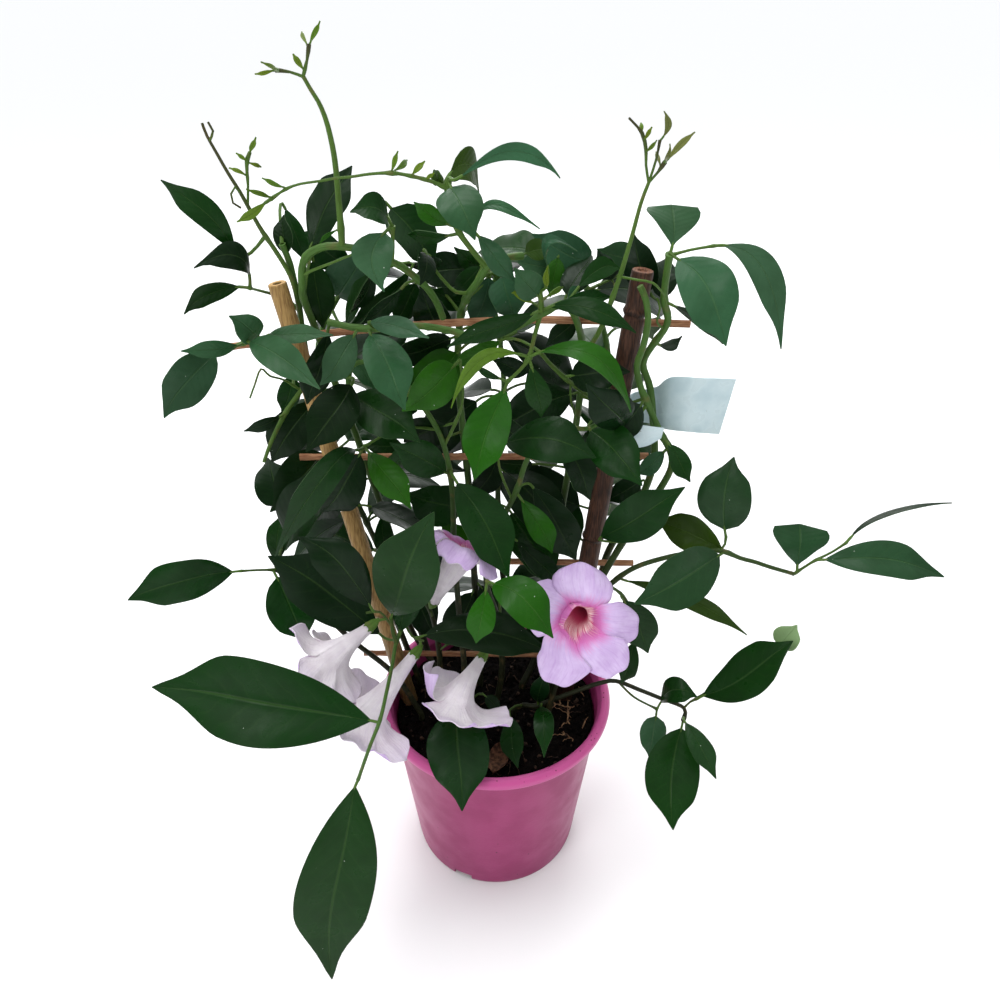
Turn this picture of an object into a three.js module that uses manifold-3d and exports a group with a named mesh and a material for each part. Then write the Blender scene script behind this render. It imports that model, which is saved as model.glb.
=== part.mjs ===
// Potted bower vine: a twining climber with glossy leaves and trumpet flowers on a V-shaped cane
// rack, in a pink nursery pot. Millimetres, +Z up, origin at the centre of the pot's underside,
// the front of the plant towards -Y.
import * as THREE from 'three';
import Module from 'manifold-3d';
import { mergeVertices } from 'three/addons/utils/BufferGeometryUtils.js';

const wasm = await Module();
wasm.setup();

// The pot and its soil
const POT_RADIUS = 70;
const POT_HEIGHT = 120;
const LIP_WIDTH = 5.5;
const LIP_HEIGHT = 6.5;
const WALL_TOP_RADIUS = 64;
const FOOT_RADIUS = 52.8;
const WALL = 1.6;
const FLOOR_RISE = 4.5;
const FLOOR_THICKNESS = 2;
const CENTRE_PAD_RADIUS = 28;
const FOOT_NOTCH = { width: 12, height: 5, count: 3, firstAzimuth: 246 };
const DRAIN_HOLE = { radius: 4, ring: 39, count: 6 };
const SOIL_TOP = 106;
const SOIL_RIPPLE = 1.6;
const CLEARANCE = 0.3;
const POT_SIDES = 26;
const SOIL_SIDES = 16;
const HOLE_SIDES = 6;

// The cane rack
const RACK_Y = 6.5;
const RUNG_HALF_HEIGHT = 1.9;
const RUNG_HALF_DEPTH = 1.5;
const ROOT_DEPTH = 24;
const STAKE_SIDES = 8;
const RUNG_SIDES = 6;

// Leaves and stems
const BLADE_THICKNESS = 0.8;
const BLADE_SAMPLE_STEP = 3;
const LEAF_GAP = 2.2;
const STEM_STEP = 26;
const TWIG_STEP = 14;
const FOLD = 0.16;
const STALK_FROM = 8;
const PETIOLE_RADIUS = 0.9;
const STALK_HALF_WIDTH = 0.8;

// The viewpoint from which the plant's places were read: a plain pinhole view of a frame that is
// 1000 wide and 1000 high. A place is written as across, down and the millimetres in front of
// the rack.
const VIEW = { x: 0, y: -350, z: 483, pitch: 32.8, yaw: 0.45, focal: 800, centre: 500 };

const radians = Math.PI / 180;
const eye = [VIEW.x, VIEW.y, VIEW.z];
const cosPitch = Math.cos(VIEW.pitch * radians);
const sinPitch = Math.sin(VIEW.pitch * radians);
const cosYaw = Math.cos(VIEW.yaw * radians);
const sinYaw = Math.sin(VIEW.yaw * radians);
const ahead = [sinYaw * cosPitch, cosYaw * cosPitch, -sinPitch];
const right = [cosYaw, -sinYaw, 0];
const above = [sinYaw * sinPitch, cosYaw * sinPitch, cosPitch];

// Small vector helpers
const add = (a, b) => [a[0] + b[0], a[1] + b[1], a[2] + b[2]];
const sub = (a, b) => [a[0] - b[0], a[1] - b[1], a[2] - b[2]];
const scale = (a, s) => [a[0] * s, a[1] * s, a[2] * s];
const dot = (a, b) => a[0] * b[0] + a[1] * b[1] + a[2] * b[2];
const mix = (a, b, t) => add(scale(a, 1 - t), scale(b, t));
const cross = (a, b) => [
  a[1] * b[2] - a[2] * b[1],
  a[2] * b[0] - a[0] * b[2],
  a[0] * b[1] - a[1] * b[0],
];
const size = (a) => Math.sqrt(dot(a, a));
const unit = (a) => scale(a, 1 / (size(a) || 1));

const rayThrough = (across, down) => add(ahead, add(
  scale(right, (across - VIEW.centre) / VIEW.focal),
  scale(above, (VIEW.centre - down) / VIEW.focal),
));

function at([across, down, front]) {
  const ray = rayThrough(across, down);
  return add(eye, scale(ray, (RACK_Y - front - eye[1]) / ray[1]));
}

function onSoil([across, down]) {
  const ray = rayThrough(across, down);
  return add(eye, scale(ray, (SOIL_TOP - eye[2]) / ray[2]));
}

const distanceAhead = (p) => dot(sub(p, eye), ahead);

function seenAt(p) {
  const d = sub(p, eye);
  const k = VIEW.focal / dot(d, ahead);
  return [VIEW.centre + k * dot(d, right), VIEW.centre - k * dot(d, above)];
}

// The shoots: name, then stems, then leaves. A stem is its two radii and its places; the first
// stem of each shoot starts at its place in the soil, and the others grow from the nearest stem.
// A leaf is its tone, base, tip, width as seen, turn about the midrib in degrees, rise of the
// midrib in millimetres, and, where it bends strongly, the place of its middle and its outline.
const SHOOTS = [
  ['vine_left', [
    [2.0, 1.4, [420, 684], [404, 640, -16], [384, 590, -16], [362, 540, -15], [344, 480, -15],
      [326, 420, -15], [310, 370, -14], [303, 335, -13], [300, 312, -8], [296, 290, -3],
      [290, 264, 0], [282, 244, 2]],
    [1.2, 0.8, [299, 300, -4], [290, 275, 2], [275, 250, 6], [262, 231, 8], [250, 210, 10],
      [240, 192, 10], [228, 173, 9], [216, 152, 8], [207, 136, 8], [202, 123, 8]],
    [0.8, 0.7, [209, 141, 8], [213, 131, 9], [208, 122, 10]],
    [0.8, 0.7, [248, 206, 10], [248, 185, 10], [247, 172, 11], [247, 160, 11], [250, 152, 11]],
    [0.7, 0.7, [241, 194, 10], [235, 187, 12], [231, 194, 14], [233, 203, 15], [241, 208, 15]],
    [1.0, 0.8, [300, 312, -8], [288, 300, -10], [272, 294, -10], [257, 290, 0], [250, 288, 8]],
    [1.2, 0.9, [307, 360, -14], [290, 358, -13], [276, 347, -4], [262, 339, 3], [244, 343, 8],
      [223, 350, 10]],
    [1.4, 1.0, [310, 372, -14], [300, 392, -12], [286, 412, -8], [272, 440, -3], [264, 462, 0]],
    [0.8, 0.7, [300, 390, -12], [284, 380, -8], [270, 376, 0], [261, 369, 6], [255, 384, 7],
      [250, 398, 6]]
  ], [
    ['mid', [237, 254, 12], [161, 180, 14], 27, 14, 3, [202, 214, 16]],
    ['dark', [250, 288, 10], [194, 268, 26], 26, -18, 0, [237, 255, 18]],
    ['mid', [248, 288, 9], [184, 314, 22], 23, 22, 0, [212, 291, 16]],
    ['dark', [288, 260, 0], [284, 215, -4], 17, 40, 2],
    ['grey', [263, 336, 6], [229, 316, 18], 29, 0, 2],
    ['grey', [244, 343, 11], [181, 351, 28], 17, 25, 4],
    ['grey', [222, 350, 12], [164, 418, 40], 45, 8, 3, [187, 379, 28]],
    ['grey', [249, 342, 10], [320, 389, 36], 33, 6, 4],
    ['grey', [269, 335, 7], [333, 335, 22], 21, 12, 5],
    ['dark', [286, 414, -6], [244, 431, 4], 12, 30, 2],
    ['new', [249, 153, 11], [256, 137, 13], 5, 0, 1],
    ['new', [247, 161, 11], [236, 153, 13], 4, 0, 1],
    ['new', [247, 162, 11], [261, 167, 13], 4, 0, 1],
    ['new', [248, 176, 11], [229, 168, 13], 4, 0, 1],
    ['mid', [285, 208, -18], [305, 262, -14], 20, 12, 2],
    ['mid', [292, 375, -18], [282, 413, -14], 22, 12, 2]
  ]],
  ['vine_loop', [
    [2.1, 1.6, [440, 690], [424, 640, -24], [404, 580, -24], [386, 520, -24], [358, 440, -23],
      [334, 380, -22], [316, 330, -14], [304, 300, -2], [302, 285, 5], [302, 268, 8],
      [306, 257, 9], [315, 250, 10], [328, 246, 11], [345, 247, 11], [368, 251, 11],
      [390, 261, 11], [402, 267, 10], [415, 277, 9], [427, 288, 7], [437, 303, 3],
      [443, 318, -1]],
    [1.5, 0.9, [342, 248, 11], [341, 228, 12], [339, 205, 12], [337, 180, 12], [334, 155, 12],
      [330, 135, 11], [325, 117, 10], [318, 101, 9], [311, 90, 9], [303, 76, 9]],
    [0.8, 0.7, [303, 77, 9], [290, 72, 10], [275, 70, 11]],
    [0.8, 0.7, [303, 77, 9], [307, 60, 9], [309, 44, 9]],
    [0.9, 0.7, [303, 276, 7], [311, 271, 10], [334, 262, 14], [356, 253, 16]],
    [1.0, 0.9, [392, 262, 11], [393, 245, 13], [392, 226, 14]]
  ], [
    ['grey', [395, 223, 15], [384, 292, 34], 40, 10, 3, [375, 254, 26]],
    ['mid', [391, 224, 14], [350, 212, 18], 28, -25, 2, [374, 207, 17]],
    ['dark', [303, 245, 6], [352, 166, -4], 40, 20, 3, [327, 205, 2]],
    ['bright', [327, 226, 10], [320, 243, 14], 5, 0, 1],
    ['dark', [374, 268, 2], [350, 312, 4], 12, 50, 2],
    ['dark', [402, 288, 2], [360, 324, 4], 12, 50, 2],
    ['new', [276, 70, 11], [255, 74, 13], 4, 0, 1],
    ['new', [277, 70, 11], [261, 62, 13], 4, 0, 1],
    ['new', [301, 69, 9], [293, 54, 10], 6, 0, 1],
    ['new', [309, 46, 9], [320, 21, 9], 5, 0, 1],
    ['new', [308, 47, 9], [302, 32, 10], 4, 0, 1],
    ['mid', [313, 260, -18], [323, 328, -14], 33, -12, 2],
    ['mid', [390, 207, -10], [436, 269, -6], 48, 12, 2],
    ['mid', [372, 514, -18], [388, 554, -14], 20, 12, 2],
    ['dark', [406, 584, -20], [436, 636, -12], 34, 10, 2],
    ['mid', [403, 445, -18], [363, 445, -14], 20, 12, 2],
    ['grey', [349, 358, -18], [375, 390, -14], 20, 12, 2]
  ]],
  ['vine_centre_top', [
    [2.1, 1.6, [480, 684], [480, 640, -17], [474, 570, -17], [470, 500, -17], [464, 440, -16],
      [458, 380, -16], [458, 345, -16], [461, 314, -15], [466, 299, -6], [473, 288, 5],
      [480, 279, 9],
      [487, 268, 10], [505, 258, 10], [522, 256, 6]],
    [1.3, 1.0, [487, 268, 10], [472, 250, 11], [459, 232, 11], [450, 210, 11], [447, 190, 11],
      [450, 178, 11]],
    [1.0, 0.8, [466, 299, 2], [456, 292, 2], [445, 282, 0], [434, 268, 2], [424, 250, 4]],
    [0.9, 0.7, [447, 188, 11], [430, 181, 13], [411, 176, 15], [392, 173, 16], [370, 174, 17],
      [350, 177, 18], [337, 178, 18], [320, 181, 17], [300, 184, 16], [286, 189, 15],
      [271, 199, 14]],
    [0.9, 0.8, [456, 228, 11], [464, 226, 11], [471, 228, 11]]
  ], [
    ['grey', [447, 184, 14], [475, 240, 34], 45, 6, 4],
    ['grey', [459, 178, 12], [560, 178, 28], 17, 8, 0, [518, 156, 18]],
    ['olive', [440, 180, 8], [479, 194, 2], 30, 25, 0, [464, 162, 4]],
    ['olive', [444, 187, 10], [434, 170, 12], 14, 20, 2],
    ['grey', [472, 229, 12], [540, 229, 22], 11, 10, 0, [494, 206, 16]],
    ['grey', [476, 237, 12], [515, 281, 20], 22, 10, 3],
    ['bright', [445, 233, 14], [414, 202, 14], 18, 10, 3],
    ['mid', [450, 239, 8], [408, 234, 6], 14, 30, 2],
    ['dark', [430, 246, 3], [420, 285, 10], 20, 25, 3],
    ['dark', [440, 243, 0], [434, 268, 4], 11, 30, 2],
    ['olive', [520, 256, 6], [548, 250, 0], 20, 25, 3],
    ['new', [268, 201, 14], [237, 222, 18], 9, 0, 1],
    ['new', [270, 199, 14], [246, 189, 16], 5, 0, 1],
    ['new', [287, 189, 15], [262, 178, 16], 5, 0, 1],
    ['new', [391, 173, 16], [398, 151, 16], 5, 0, 1],
    ['new', [392, 172, 16], [407, 160, 18], 6, 0, 1],
    ['new', [411, 176, 15], [425, 161, 15], 6, 0, 1],
    ['new', [425, 179, 13], [434, 173, 13], 4, 0, 1],
    ['mid', [460, 511, -18], [406, 493, -14], 48, 12, 2],
    ['dark', [478, 590, -13], [448, 642, -6], 34, 10, 2],
    ['dark', [482, 584, -13], [518, 636, -6], 36, 10, 2],
    ['dark', [458, 333, -18], [390, 357, -14], 33, 30, 2],
    ['grey', [490, 277, -18], [470, 327, -14], 33, 30, 2],
    ['mid', [416, 283, -24], [394, 325, -20], 29, 30, 2],
    ['dark', [496, 462, -18], [474, 496, -14], 28, 12, 2],
    ['mid', [467, 303, -24], [429, 289, -20], 22, 12, 2],
    ['mid', [486, 271, -18], [454, 247, -14], 20, 12, 2],
    ['mid', [481, 266, -10], [453, 296, -6], 20, 12, 2]
  ]],
  ['vine_across', [
    [2.1, 1.5, [522, 688], [538, 650, -17], [550, 590, -17], [560, 520, -17], [572, 450, -17],
      [580, 395, -17], [583, 352, -15], [577, 322, 0], [565, 304, 10], [541, 314, 15],
      [510, 330, 16], [478, 338, 15], [452, 331, 14], [420, 326, 14], [390, 328, 13],
      [358, 328, 12], [328, 322, 10]],
    [1.4, 0.9, [583, 356, -16], [588, 352, -8], [592, 344, 0], [600, 330, 5], [608, 310, 8],
      [617, 285, 10], [622, 270, 11], [632, 236, 11], [641, 203, 10], [649, 182, 10]],
    [0.8, 0.7, [649, 183, 10], [646, 165, 10], [646, 150, 10], [642, 133, 10], [629, 118, 12]],
    [0.8, 0.7, [649, 183, 10], [656, 160, 10], [660, 140, 10]],
    [0.8, 0.7, [649, 183, 10], [658, 172, 10], [665, 162, 11]],
    [0.8, 0.7, [620, 277, 11], [638, 280, 18], [653, 283, 18], [663, 294, 13], [666, 304, 11]],
    [1.1, 0.9, [541, 315, 15], [534, 338, 18], [529, 358, 20], [519, 371, 21], [507, 382, 22]],
    [0.9, 0.8, [541, 314, 15], [541, 302, 18], [540, 292, 20]],
    [1.3, 1.0, [581, 395, -17], [592, 398, -12], [572, 384, -4], [552, 366, 2], [540, 352, 6]],
    [0.8, 0.7, [568, 382, -5], [571, 400, -2], [576, 420, 0], [577, 440, 2]]
  ], [
    ['bright', [507, 382, 23], [474, 480, 44], 45, 8, 3],
    ['bright', [533, 358, 21], [631, 412, 36], 24, 14, 0, [592, 354, 34]],
    ['mid', [542, 314, 18], [636, 333, 32], 21, 16, 3, [590, 306, 27]],
    ['mid', [540, 313, 18], [447, 347, 36], 22, 10, 4],
    ['grey', [366, 334, 17], [405, 410, 44], 46, 8, 4],
    ['grey', [358, 334, 16], [320, 385, 42], 31, 8, 4],
    ['grey', [370, 322, 15], [429, 338, 28], 22, 12, 3],
    ['new', [526, 357, 21], [451, 408, 38], 15, 25, 0, [482, 360, 32]],
    ['mid', [533, 360, 18], [541, 417, 24], 25, 10, 3],
    ['mid', [535, 345, 14], [572, 310, 6], 20, 20, 3],
    ['mid', [500, 376, 20], [476, 368, 24], 8, 0, 1],
    ['dark', [566, 378, 0], [630, 372, 12], 38, 10, 3],
    ['dark', [329, 326, 11], [307, 404, 14], 30, 10, 3],
    ['dark', [552, 580, -14], [592, 640, -6], 38, 10, 2],
    ['dark', [546, 612, -13], [520, 652, -8], 26, 10, 2],
    ['mid', [546, 308, 13], [612, 297, 4], 17, 20, 2],
    ['grey', [541, 298, 18], [514, 268, 24], 30, 0, 2],
    ['mid', [578, 288, 6], [622, 270, 3], 20, 20, 0, [600, 268, 2]],
    ['grey', [560, 300, 10], [579, 286, 16], 10, 10, 1],
    ['grey', [548, 268, 14], [577, 251, 10], 10, 20, 0, [548, 240, 14]],
    ['dark', [566, 296, 4], [592, 256, -4], 30, 20, 2],
    ['dark', [612, 280, -6], [598, 250, -12], 24, 10, 2],
    ['new', [539, 291, 20], [517, 274, 24], 6, 0, 1],
    ['new', [536, 296, 18], [512, 293, 22], 7, 0, 1],
    ['new', [545, 292, 19], [563, 287, 21], 6, 0, 1],
    ['new', [546, 287, 19], [548, 266, 22], 6, 0, 1],
    ['new', [645, 140, 10], [652, 127, 11], 4, 0, 1],
    ['new', [643, 134, 10], [641, 123, 12], 4, 0, 1],
    ['new', [647, 152, 10], [657, 140, 13], 4, 0, 1],
    ['pale', [660, 141, 10], [664, 111, 10], 7, 0, 0, [668, 126, 10]],
    ['pale', [664, 163, 11], [695, 132, 12], 7, 0, 1],
    ['pale', [666, 161, 11], [670, 144, 12], 4, 0, 1],
    ['pale', [662, 166, 11], [656, 152, 12], 4, 0, 1],
    ['bright', [500, 341, -4], [452, 365, 0], 22, 12, 2],
    ['dark', [576, 320, -18], [546, 346, -14], 20, 12, 2],
    ['dark', [533, 464, -18], [493, 462, -14], 20, 12, 2]
  ]],
  ['vine_right_top', [
    [2.3, 1.6, [574, 684], [586, 650, -17], [597, 600, -15], [606, 557, -15], [626, 522, -10],
      [643, 494, -1], [654, 460, 1], [653, 420, 0], [650, 388, -1], [643, 364, -2],
      [652, 346, -1], [664, 330, 0], [668, 318, 0], [664, 300, 2], [666, 278, 5],
      [670, 254, 9]],
    [0.9, 0.8, [671, 256, 9], [690, 250, 10], [713, 246, 11]],
    [0.8, 0.7, [666, 330, 0], [657, 322, 4], [660, 308, 6], [657, 298, 4]]
  ], [
    ['grey', [669, 253, 11], [726, 346, 36], 54, 6, 3, [709, 292, 26]],
    ['grey', [671, 251, 8], [672, 205, -6], 54, 0, 2, [675, 228, 2], 'fan'],
    ['grey', [713, 246, 12], [781, 349, 32], 28, 16, 0, [766, 268, 22]],
    ['dark', [666, 302, 3], [723, 344, 8], 10, 55, 2],
    ['dark', [654, 338, -4], [682, 336, -12], 12, 20, 0, [668, 346, -8]],
    ['dark', [662, 300, -2], [668, 257, -10], 27, 10, 2],
    ['dark', [650, 292, -9], [634, 234, -13], 34, 10, 3],
    ['dark', [641, 481, -18], [605, 501, -14], 23, 12, 2]
  ]],
  ['vine_right_inner', [
    [2.2, 1.5, [548, 698], [570, 650, 12], [588, 605, 13], [606, 570, 13], [640, 515, 13],
      [658, 492, 12], [671, 468, 11], [670, 450, 9], [660, 432, 9], [648, 405, 9],
      [640, 385, 9], [637, 365, 9], [643, 347, 9], [648, 322, 9], [646, 300, 10],
      [640, 286, 10]]
  ], [
    ['mid', [600, 538, 17], [685, 487, 36], 44, 10, 4],
    ['mid', [590, 430, 12], [642, 486, 32], 46, 8, 4],
    ['mid', [666, 440, 12], [690, 482, 22], 18, 30, 2],
    ['grey', [668, 452, 13], [636, 474, 22], 18, 10, 2],
    ['dark', [626, 426, 10], [586, 384, 6], 42, 0, 3],
    ['dark', [648, 404, 10], [606, 440, 8], 30, 20, 3]
  ]],
  ['vine_mid_left', [
    [1.9, 1.2, [466, 706], [464, 662, 9], [458, 600, 7], [454, 545, 4], [452, 488, 9],
      [442, 440, 11], [420, 402, 10], [396, 374, 9], [374, 362, 8], [352, 366, 9],
      [348, 392, 12]],
    [1.0, 0.8, [446, 446, 11], [462, 404, 12], [460, 360, 15]],
    [1.0, 0.8, [436, 430, 11], [400, 428, 9], [364, 447, 14]]
  ], [
    ['bright', [458, 357, 17], [402, 411, 34], 44, 12, 4],
    ['mid', [350, 396, 15], [420, 442, 38], 47, 8, 4],
    ['bright', [362, 449, 18], [411, 509, 40], 30, 18, 4],
    ['mid', [357, 450, 20], [275, 556, 30], 30, 8, 4, [318, 478, 38]],
    ['mid', [456, 481, 20], [509, 578, 46], 50, 8, 4],
    ['mid', [455, 479, 15], [390, 443, 28], 35, 12, 3],
    ['dark', [445, 414, 6], [404, 442, 2], 38, 10, 2],
    ['dark', [452, 560, 8], [408, 570, 4], 34, 20, 2],
    ['dark', [420, 380, 4], [388, 420, 2], 34, 20, 2],
    ['dark', [352, 384, 14], [306, 452, 22], 44, 10, 3],
    ['dark', [364, 449, 12], [322, 512, 14], 44, 10, 3]
  ]],
  ['vine_mid_right', [
    [1.9, 1.2, [496, 708], [502, 668, 7], [498, 620, 10], [486, 578, 13], [498, 530, 11],
      [516, 492, 10], [530, 455, 10], [560, 430, 10], [590, 428, 10], [612, 412, 8]],
    [0.9, 0.8, [512, 500, 10], [500, 470, 12], [498, 445, 15]],
    [0.9, 0.8, [499, 628, 10], [500, 610, 18], [497, 594, 32], [487, 581, 52]]
  ], [
    ['mid', [500, 441, 17], [596, 458, 38], 48, 10, 4, [548, 440, 30]],
    ['bright', [489, 579, 54], [553, 638, 74], 42, 10, 4, [521, 601, 67]],
    ['bright', [484, 583, 52], [476, 643, 62], 28, 10, 3],
    ['bright', [524, 498, 14], [552, 553, 26], 25, 12, 3],
    ['dark', [532, 486, 8], [576, 560, 14], 38, 12, 3],
    ['dark', [516, 540, 10], [562, 588, 16], 24, 12, 3],
    ['dark', [606, 420, 6], [586, 470, 2], 40, 12, 3],
    ['dark', [530, 440, 6], [500, 420, -2], 26, 12, 3],
    ['dark', [560, 432, 6], [590, 500, 8], 34, 12, 3]
  ]],
  ['vine_low_left', [
    [1.9, 1.3, [438, 704], [440, 662, 4], [434, 622, 10], [422, 600, 16], [408, 618, 25],
      [397, 640, 34], [392, 666, 50], [387, 690, 68], [380, 720, 86], [370, 746, 94],
      [358, 780, 98]],
    [1.2, 1.0, [396, 646, 34], [393, 632, 34], [391, 618, 34]],
    [0.9, 0.8, [432, 618, 12], [431, 612, 17]],
    [0.9, 0.8, [406, 624, 27], [412, 636, 33], [424, 641, 36]],
    [0.9, 0.8, [391, 626, 33], [380, 612, 34], [366, 613, 35]],
    [0.9, 0.8, [438, 650, 5], [456, 640, 14], [474, 640, 22], [484, 648, 26]]
  ], [
    ['mid', [391, 616, 35], [434, 512, 52], 67, 6, 4],
    ['mid', [358, 782, 98], [332, 979, 136], 76, 6, 5, [330, 878, 118]],
    ['mid', [377, 722, 87], [152, 687, 66], 86, 8, 5, [265, 700, 78]],
    ['dark', [374, 617, 37], [298, 537, 34], 44, 10, 4, [342, 571, 40]],
    ['dark', [382, 636, 29], [268, 556, 12], 58, 10, 4, [324, 590, 19]],
    ['dark', [412, 645, 38], [552, 654, 44], 47, 12, 4, [482, 634, 40]],
    ['mid', [399, 636, 33], [421, 560, 30], 30, 20, 3]
  ]],
  ['vine_left_spray', [
    [1.8, 1.2, [422, 718], [394, 674, 11], [352, 640, 10], [318, 608, 8], [292, 582, 6],
      [276, 569, 6]],
    [1.0, 0.8, [277, 570, 6], [283, 540, 9], [291, 508, 12]],
    [0.9, 0.8, [277, 570, 6], [260, 570, 11], [241, 571, 17]],
    [0.9, 0.8, [277, 570, 6], [272, 545, 2], [280, 515, -2]]
  ], [
    ['mid', [241, 571, 18], [128, 600, 44], 46, 10, 4, [183, 581, 34]],
    ['mid', [276, 574, 14], [306, 642, 33], 45, 8, 4],
    ['mid', [275, 566, 4], [284, 512, -1], 20, 20, 3],
    ['dark', [281, 514, -2], [268, 458, -10], 38, 10, 3],
    ['dark', [284, 530, -2], [312, 470, -4], 30, 20, 3],
    ['dark', [316, 600, 4], [336, 540, -2], 36, 20, 3]
  ]],
  ['vine_right_spray', [
    [1.9, 1.0, [546, 724], [558, 676, 20], [576, 630, 24], [600, 595, 25], [630, 570, 25],
      [668, 557, 26], [700, 552, 27], [722, 551, 28], [740, 558, 29], [755, 562, 30],
      [770, 567, 31], [794, 574, 33]],
    [0.9, 0.8, [794, 574, 33], [806, 566, 34], [816, 560, 35], [832, 552, 34], [846, 543, 33]],
    [0.9, 0.8, [720, 551, 28], [725, 544, 28], [726, 537, 28]],
    [1.0, 0.8, [610, 586, 25], [626, 600, 22], [636, 634, 16]]
  ], [
    ['mid', [727, 554, 32], [634, 604, 50], 55, 8, 4],
    ['mid', [726, 536, 29], [734, 457, 22], 52, 8, 3, [724, 496, 28]],
    ['olive', [730, 547, 27], [656, 519, 14], 36, 10, 3],
    ['olive', [612, 568, 17], [747, 635, 24], 16, 20, 4],
    ['mid', [796, 572, 34], [800, 524, 24], 54, 0, 2, null, 'fan'],
    ['mid', [816, 561, 36], [944, 577, 46], 38, 10, 4, [881, 563, 44]],
    ['dark', [846, 543, 33], [952, 503, 40], 8, 45, 0, [886, 515, 36]],
    ['mid', [624, 584, 18], [648, 653, 28], 36, 10, 3],
    ['mid', [636, 636, 16], [621, 683, 24], 20, 10, 2]
  ]],
  ['vine_low_right', [
    [1.6, 1.1, [514, 714], [523, 705, 16], [536, 706, 18], [560, 697, 16], [582, 689, 14],
      [600, 683, 14], [616, 681, 15], [640, 690, 20], [660, 698, 25], [684, 708, 30],
      [683, 721, 34]],
    [0.9, 0.8, [618, 682, 15], [634, 697, 18], [657, 709, 24]],
    [0.9, 0.8, [684, 708, 30], [690, 702, 31], [697, 699, 32]],
    [0.9, 0.7, [692, 702, 31], [730, 678, 26], [764, 658, 26], [778, 651, 28]],
    [0.9, 0.8, [523, 705, 16], [515, 706, 20], [509, 711, 24]]
  ], [
    ['mid', [683, 722, 36], [673, 830, 80], 54, 6, 3, [674, 776, 60]],
    ['mid', [697, 699, 33], [793, 641, 40], 48, 8, 4, [746, 672, 39]],
    ['mid', [685, 722, 35], [716, 779, 58], 24, 12, 3],
    ['grey', [656, 711, 25], [649, 757, 42], 28, 8, 3],
    ['mid', [658, 708, 25], [697, 697, 38], 24, 20, 0, [675, 690, 32]],
    ['pale', [778, 651, 28], [797, 625, 24], 27, 0, 2],
    ['mid', [508, 713, 25], [518, 768, 60], 23, 8, 3],
    ['mid', [541, 706, 18], [544, 757, 54], 20, 8, 3],
    ['dark', [536, 703, 18], [546, 672, 14], 18, 10, 2]
  ]],
  ['vine_low_centre', [
    [1.5, 1.0, [474, 722], [470, 704, 24], [463, 698, 33], [457, 704, 40]],
    [0.9, 0.8, [470, 702, 25], [478, 694, 26], [483, 694, 27]]
  ], [
    ['mid', [456, 706, 41], [462, 811, 86], 62, 4, 3],
    ['dark', [484, 694, 28], [500, 712, 36], 13, 10, 2]
  ]]
];

// Flowers: name, its shoot, foot of the calyx, mouth, way it faces, lobe length, how far the
// lobes bend back and how far they are turned about the tube, in degrees
const FLOWERS = [
  ['flower_front', 'vine_right_spray', [592, 600, 26], [580, 622, 54], [-0.10, -0.86, 0.50], 23, 8, 27],
  ['flower_left', 'vine_low_left', [378, 620, 32], [334, 656, 44], [-0.69, -0.16, -0.71], 19, 2, 50],
  ['flower_low_left', 'vine_low_left', [421, 646, 34], [370, 712, 62], [-0.6, -0.17, -0.78], 22, 2, 54],
  ['flower_low_middle', 'vine_low_left', [487, 649, 27], [458, 697, 50], [-0.41, -0.33, -0.85], 23, 2, 70],
  ['flower_upper', 'vine_low_left', [431, 607, 14], [463, 548, 29], [0.45, 0.42, 0.79], 18, 26, 0]
];

// Shoots at the back of the rack, whose leaves are all set by rule
const BACK_SHOOTS = [
  ['vine_back_left', [
    [1.9, 1.2, [436, 670], [412, 630, -30], [384, 560, -30], [352, 490, -30], [326, 420, -30],
      [318, 350, -30], [336, 300, -28], [360, 276, -26]]], [
    ['grey', [332, 306, -22], [364, 248, -20], 48, 0, 2],
    ['mid', [346, 326, -20], [374, 270, -22], 17, 20, 2],
    ['dark', [338, 392, -22], [302, 456, -18], 50, 10, 3],
    ['dark', [324, 452, -24], [270, 512, -10], 46, 8, 3],
    ['dark', [350, 470, -22], [318, 520, -12], 40, -10, 3],
    ['dark', [312, 400, -20], [272, 462, -6], 40, 0, 3],
    ['mid', [352, 262, -24], [300, 232, -20], 34, 0, 2],
    ['mid', [411, 269, -24], [347, 329, -20], 20, 30, 2],
  ]],
  ['vine_back_middle', [
    [1.9, 1.2, [502, 668], [508, 620, -30], [500, 550, -31], [498, 470, -31], [504, 400, -31],
      [500, 340, -30], [492, 290, -28], [510, 262, -26]]], [
    ['dark', [468, 268, -18], [414, 276, -14], 36, 0, 3],
    ['dark', [440, 330, -20], [420, 286, -12], 36, 10, 2],
    ['dark', [478, 400, -18], [420, 452, -6], 46, 0, 3],
    ['bright', [458, 352, -10], [402, 410, -2], 50, 0, 3],
    ['bright', [470, 560, -16], [440, 520, -12], 30, 0, 2],
    ['grey', [502, 276, -18], [514, 320, -14], 42, 12, 2],
    ['dark', [530, 371, -18], [492, 359, -14], 20, 12, 2],
  ]],
  ['vine_back_right', [
    [1.9, 1.2, [556, 672], [576, 620, -30], [592, 550, -30], [604, 480, -30], [612, 410, -30],
      [606, 340, -30], [588, 290, -28], [566, 270, -26]]], [
    ['grey', [592, 262, -24], [532, 234, -20], 39, 12, 2],
    ['grey', [635, 259, -24], [597, 249, -20], 29, 12, 2],
    ['bright', [558, 257, -18], [550, 297, -14], 20, 12, 2],
    ['grey', [557, 270, -24], [517, 262, -20], 26, -12, 2],
  ]],
];

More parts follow.
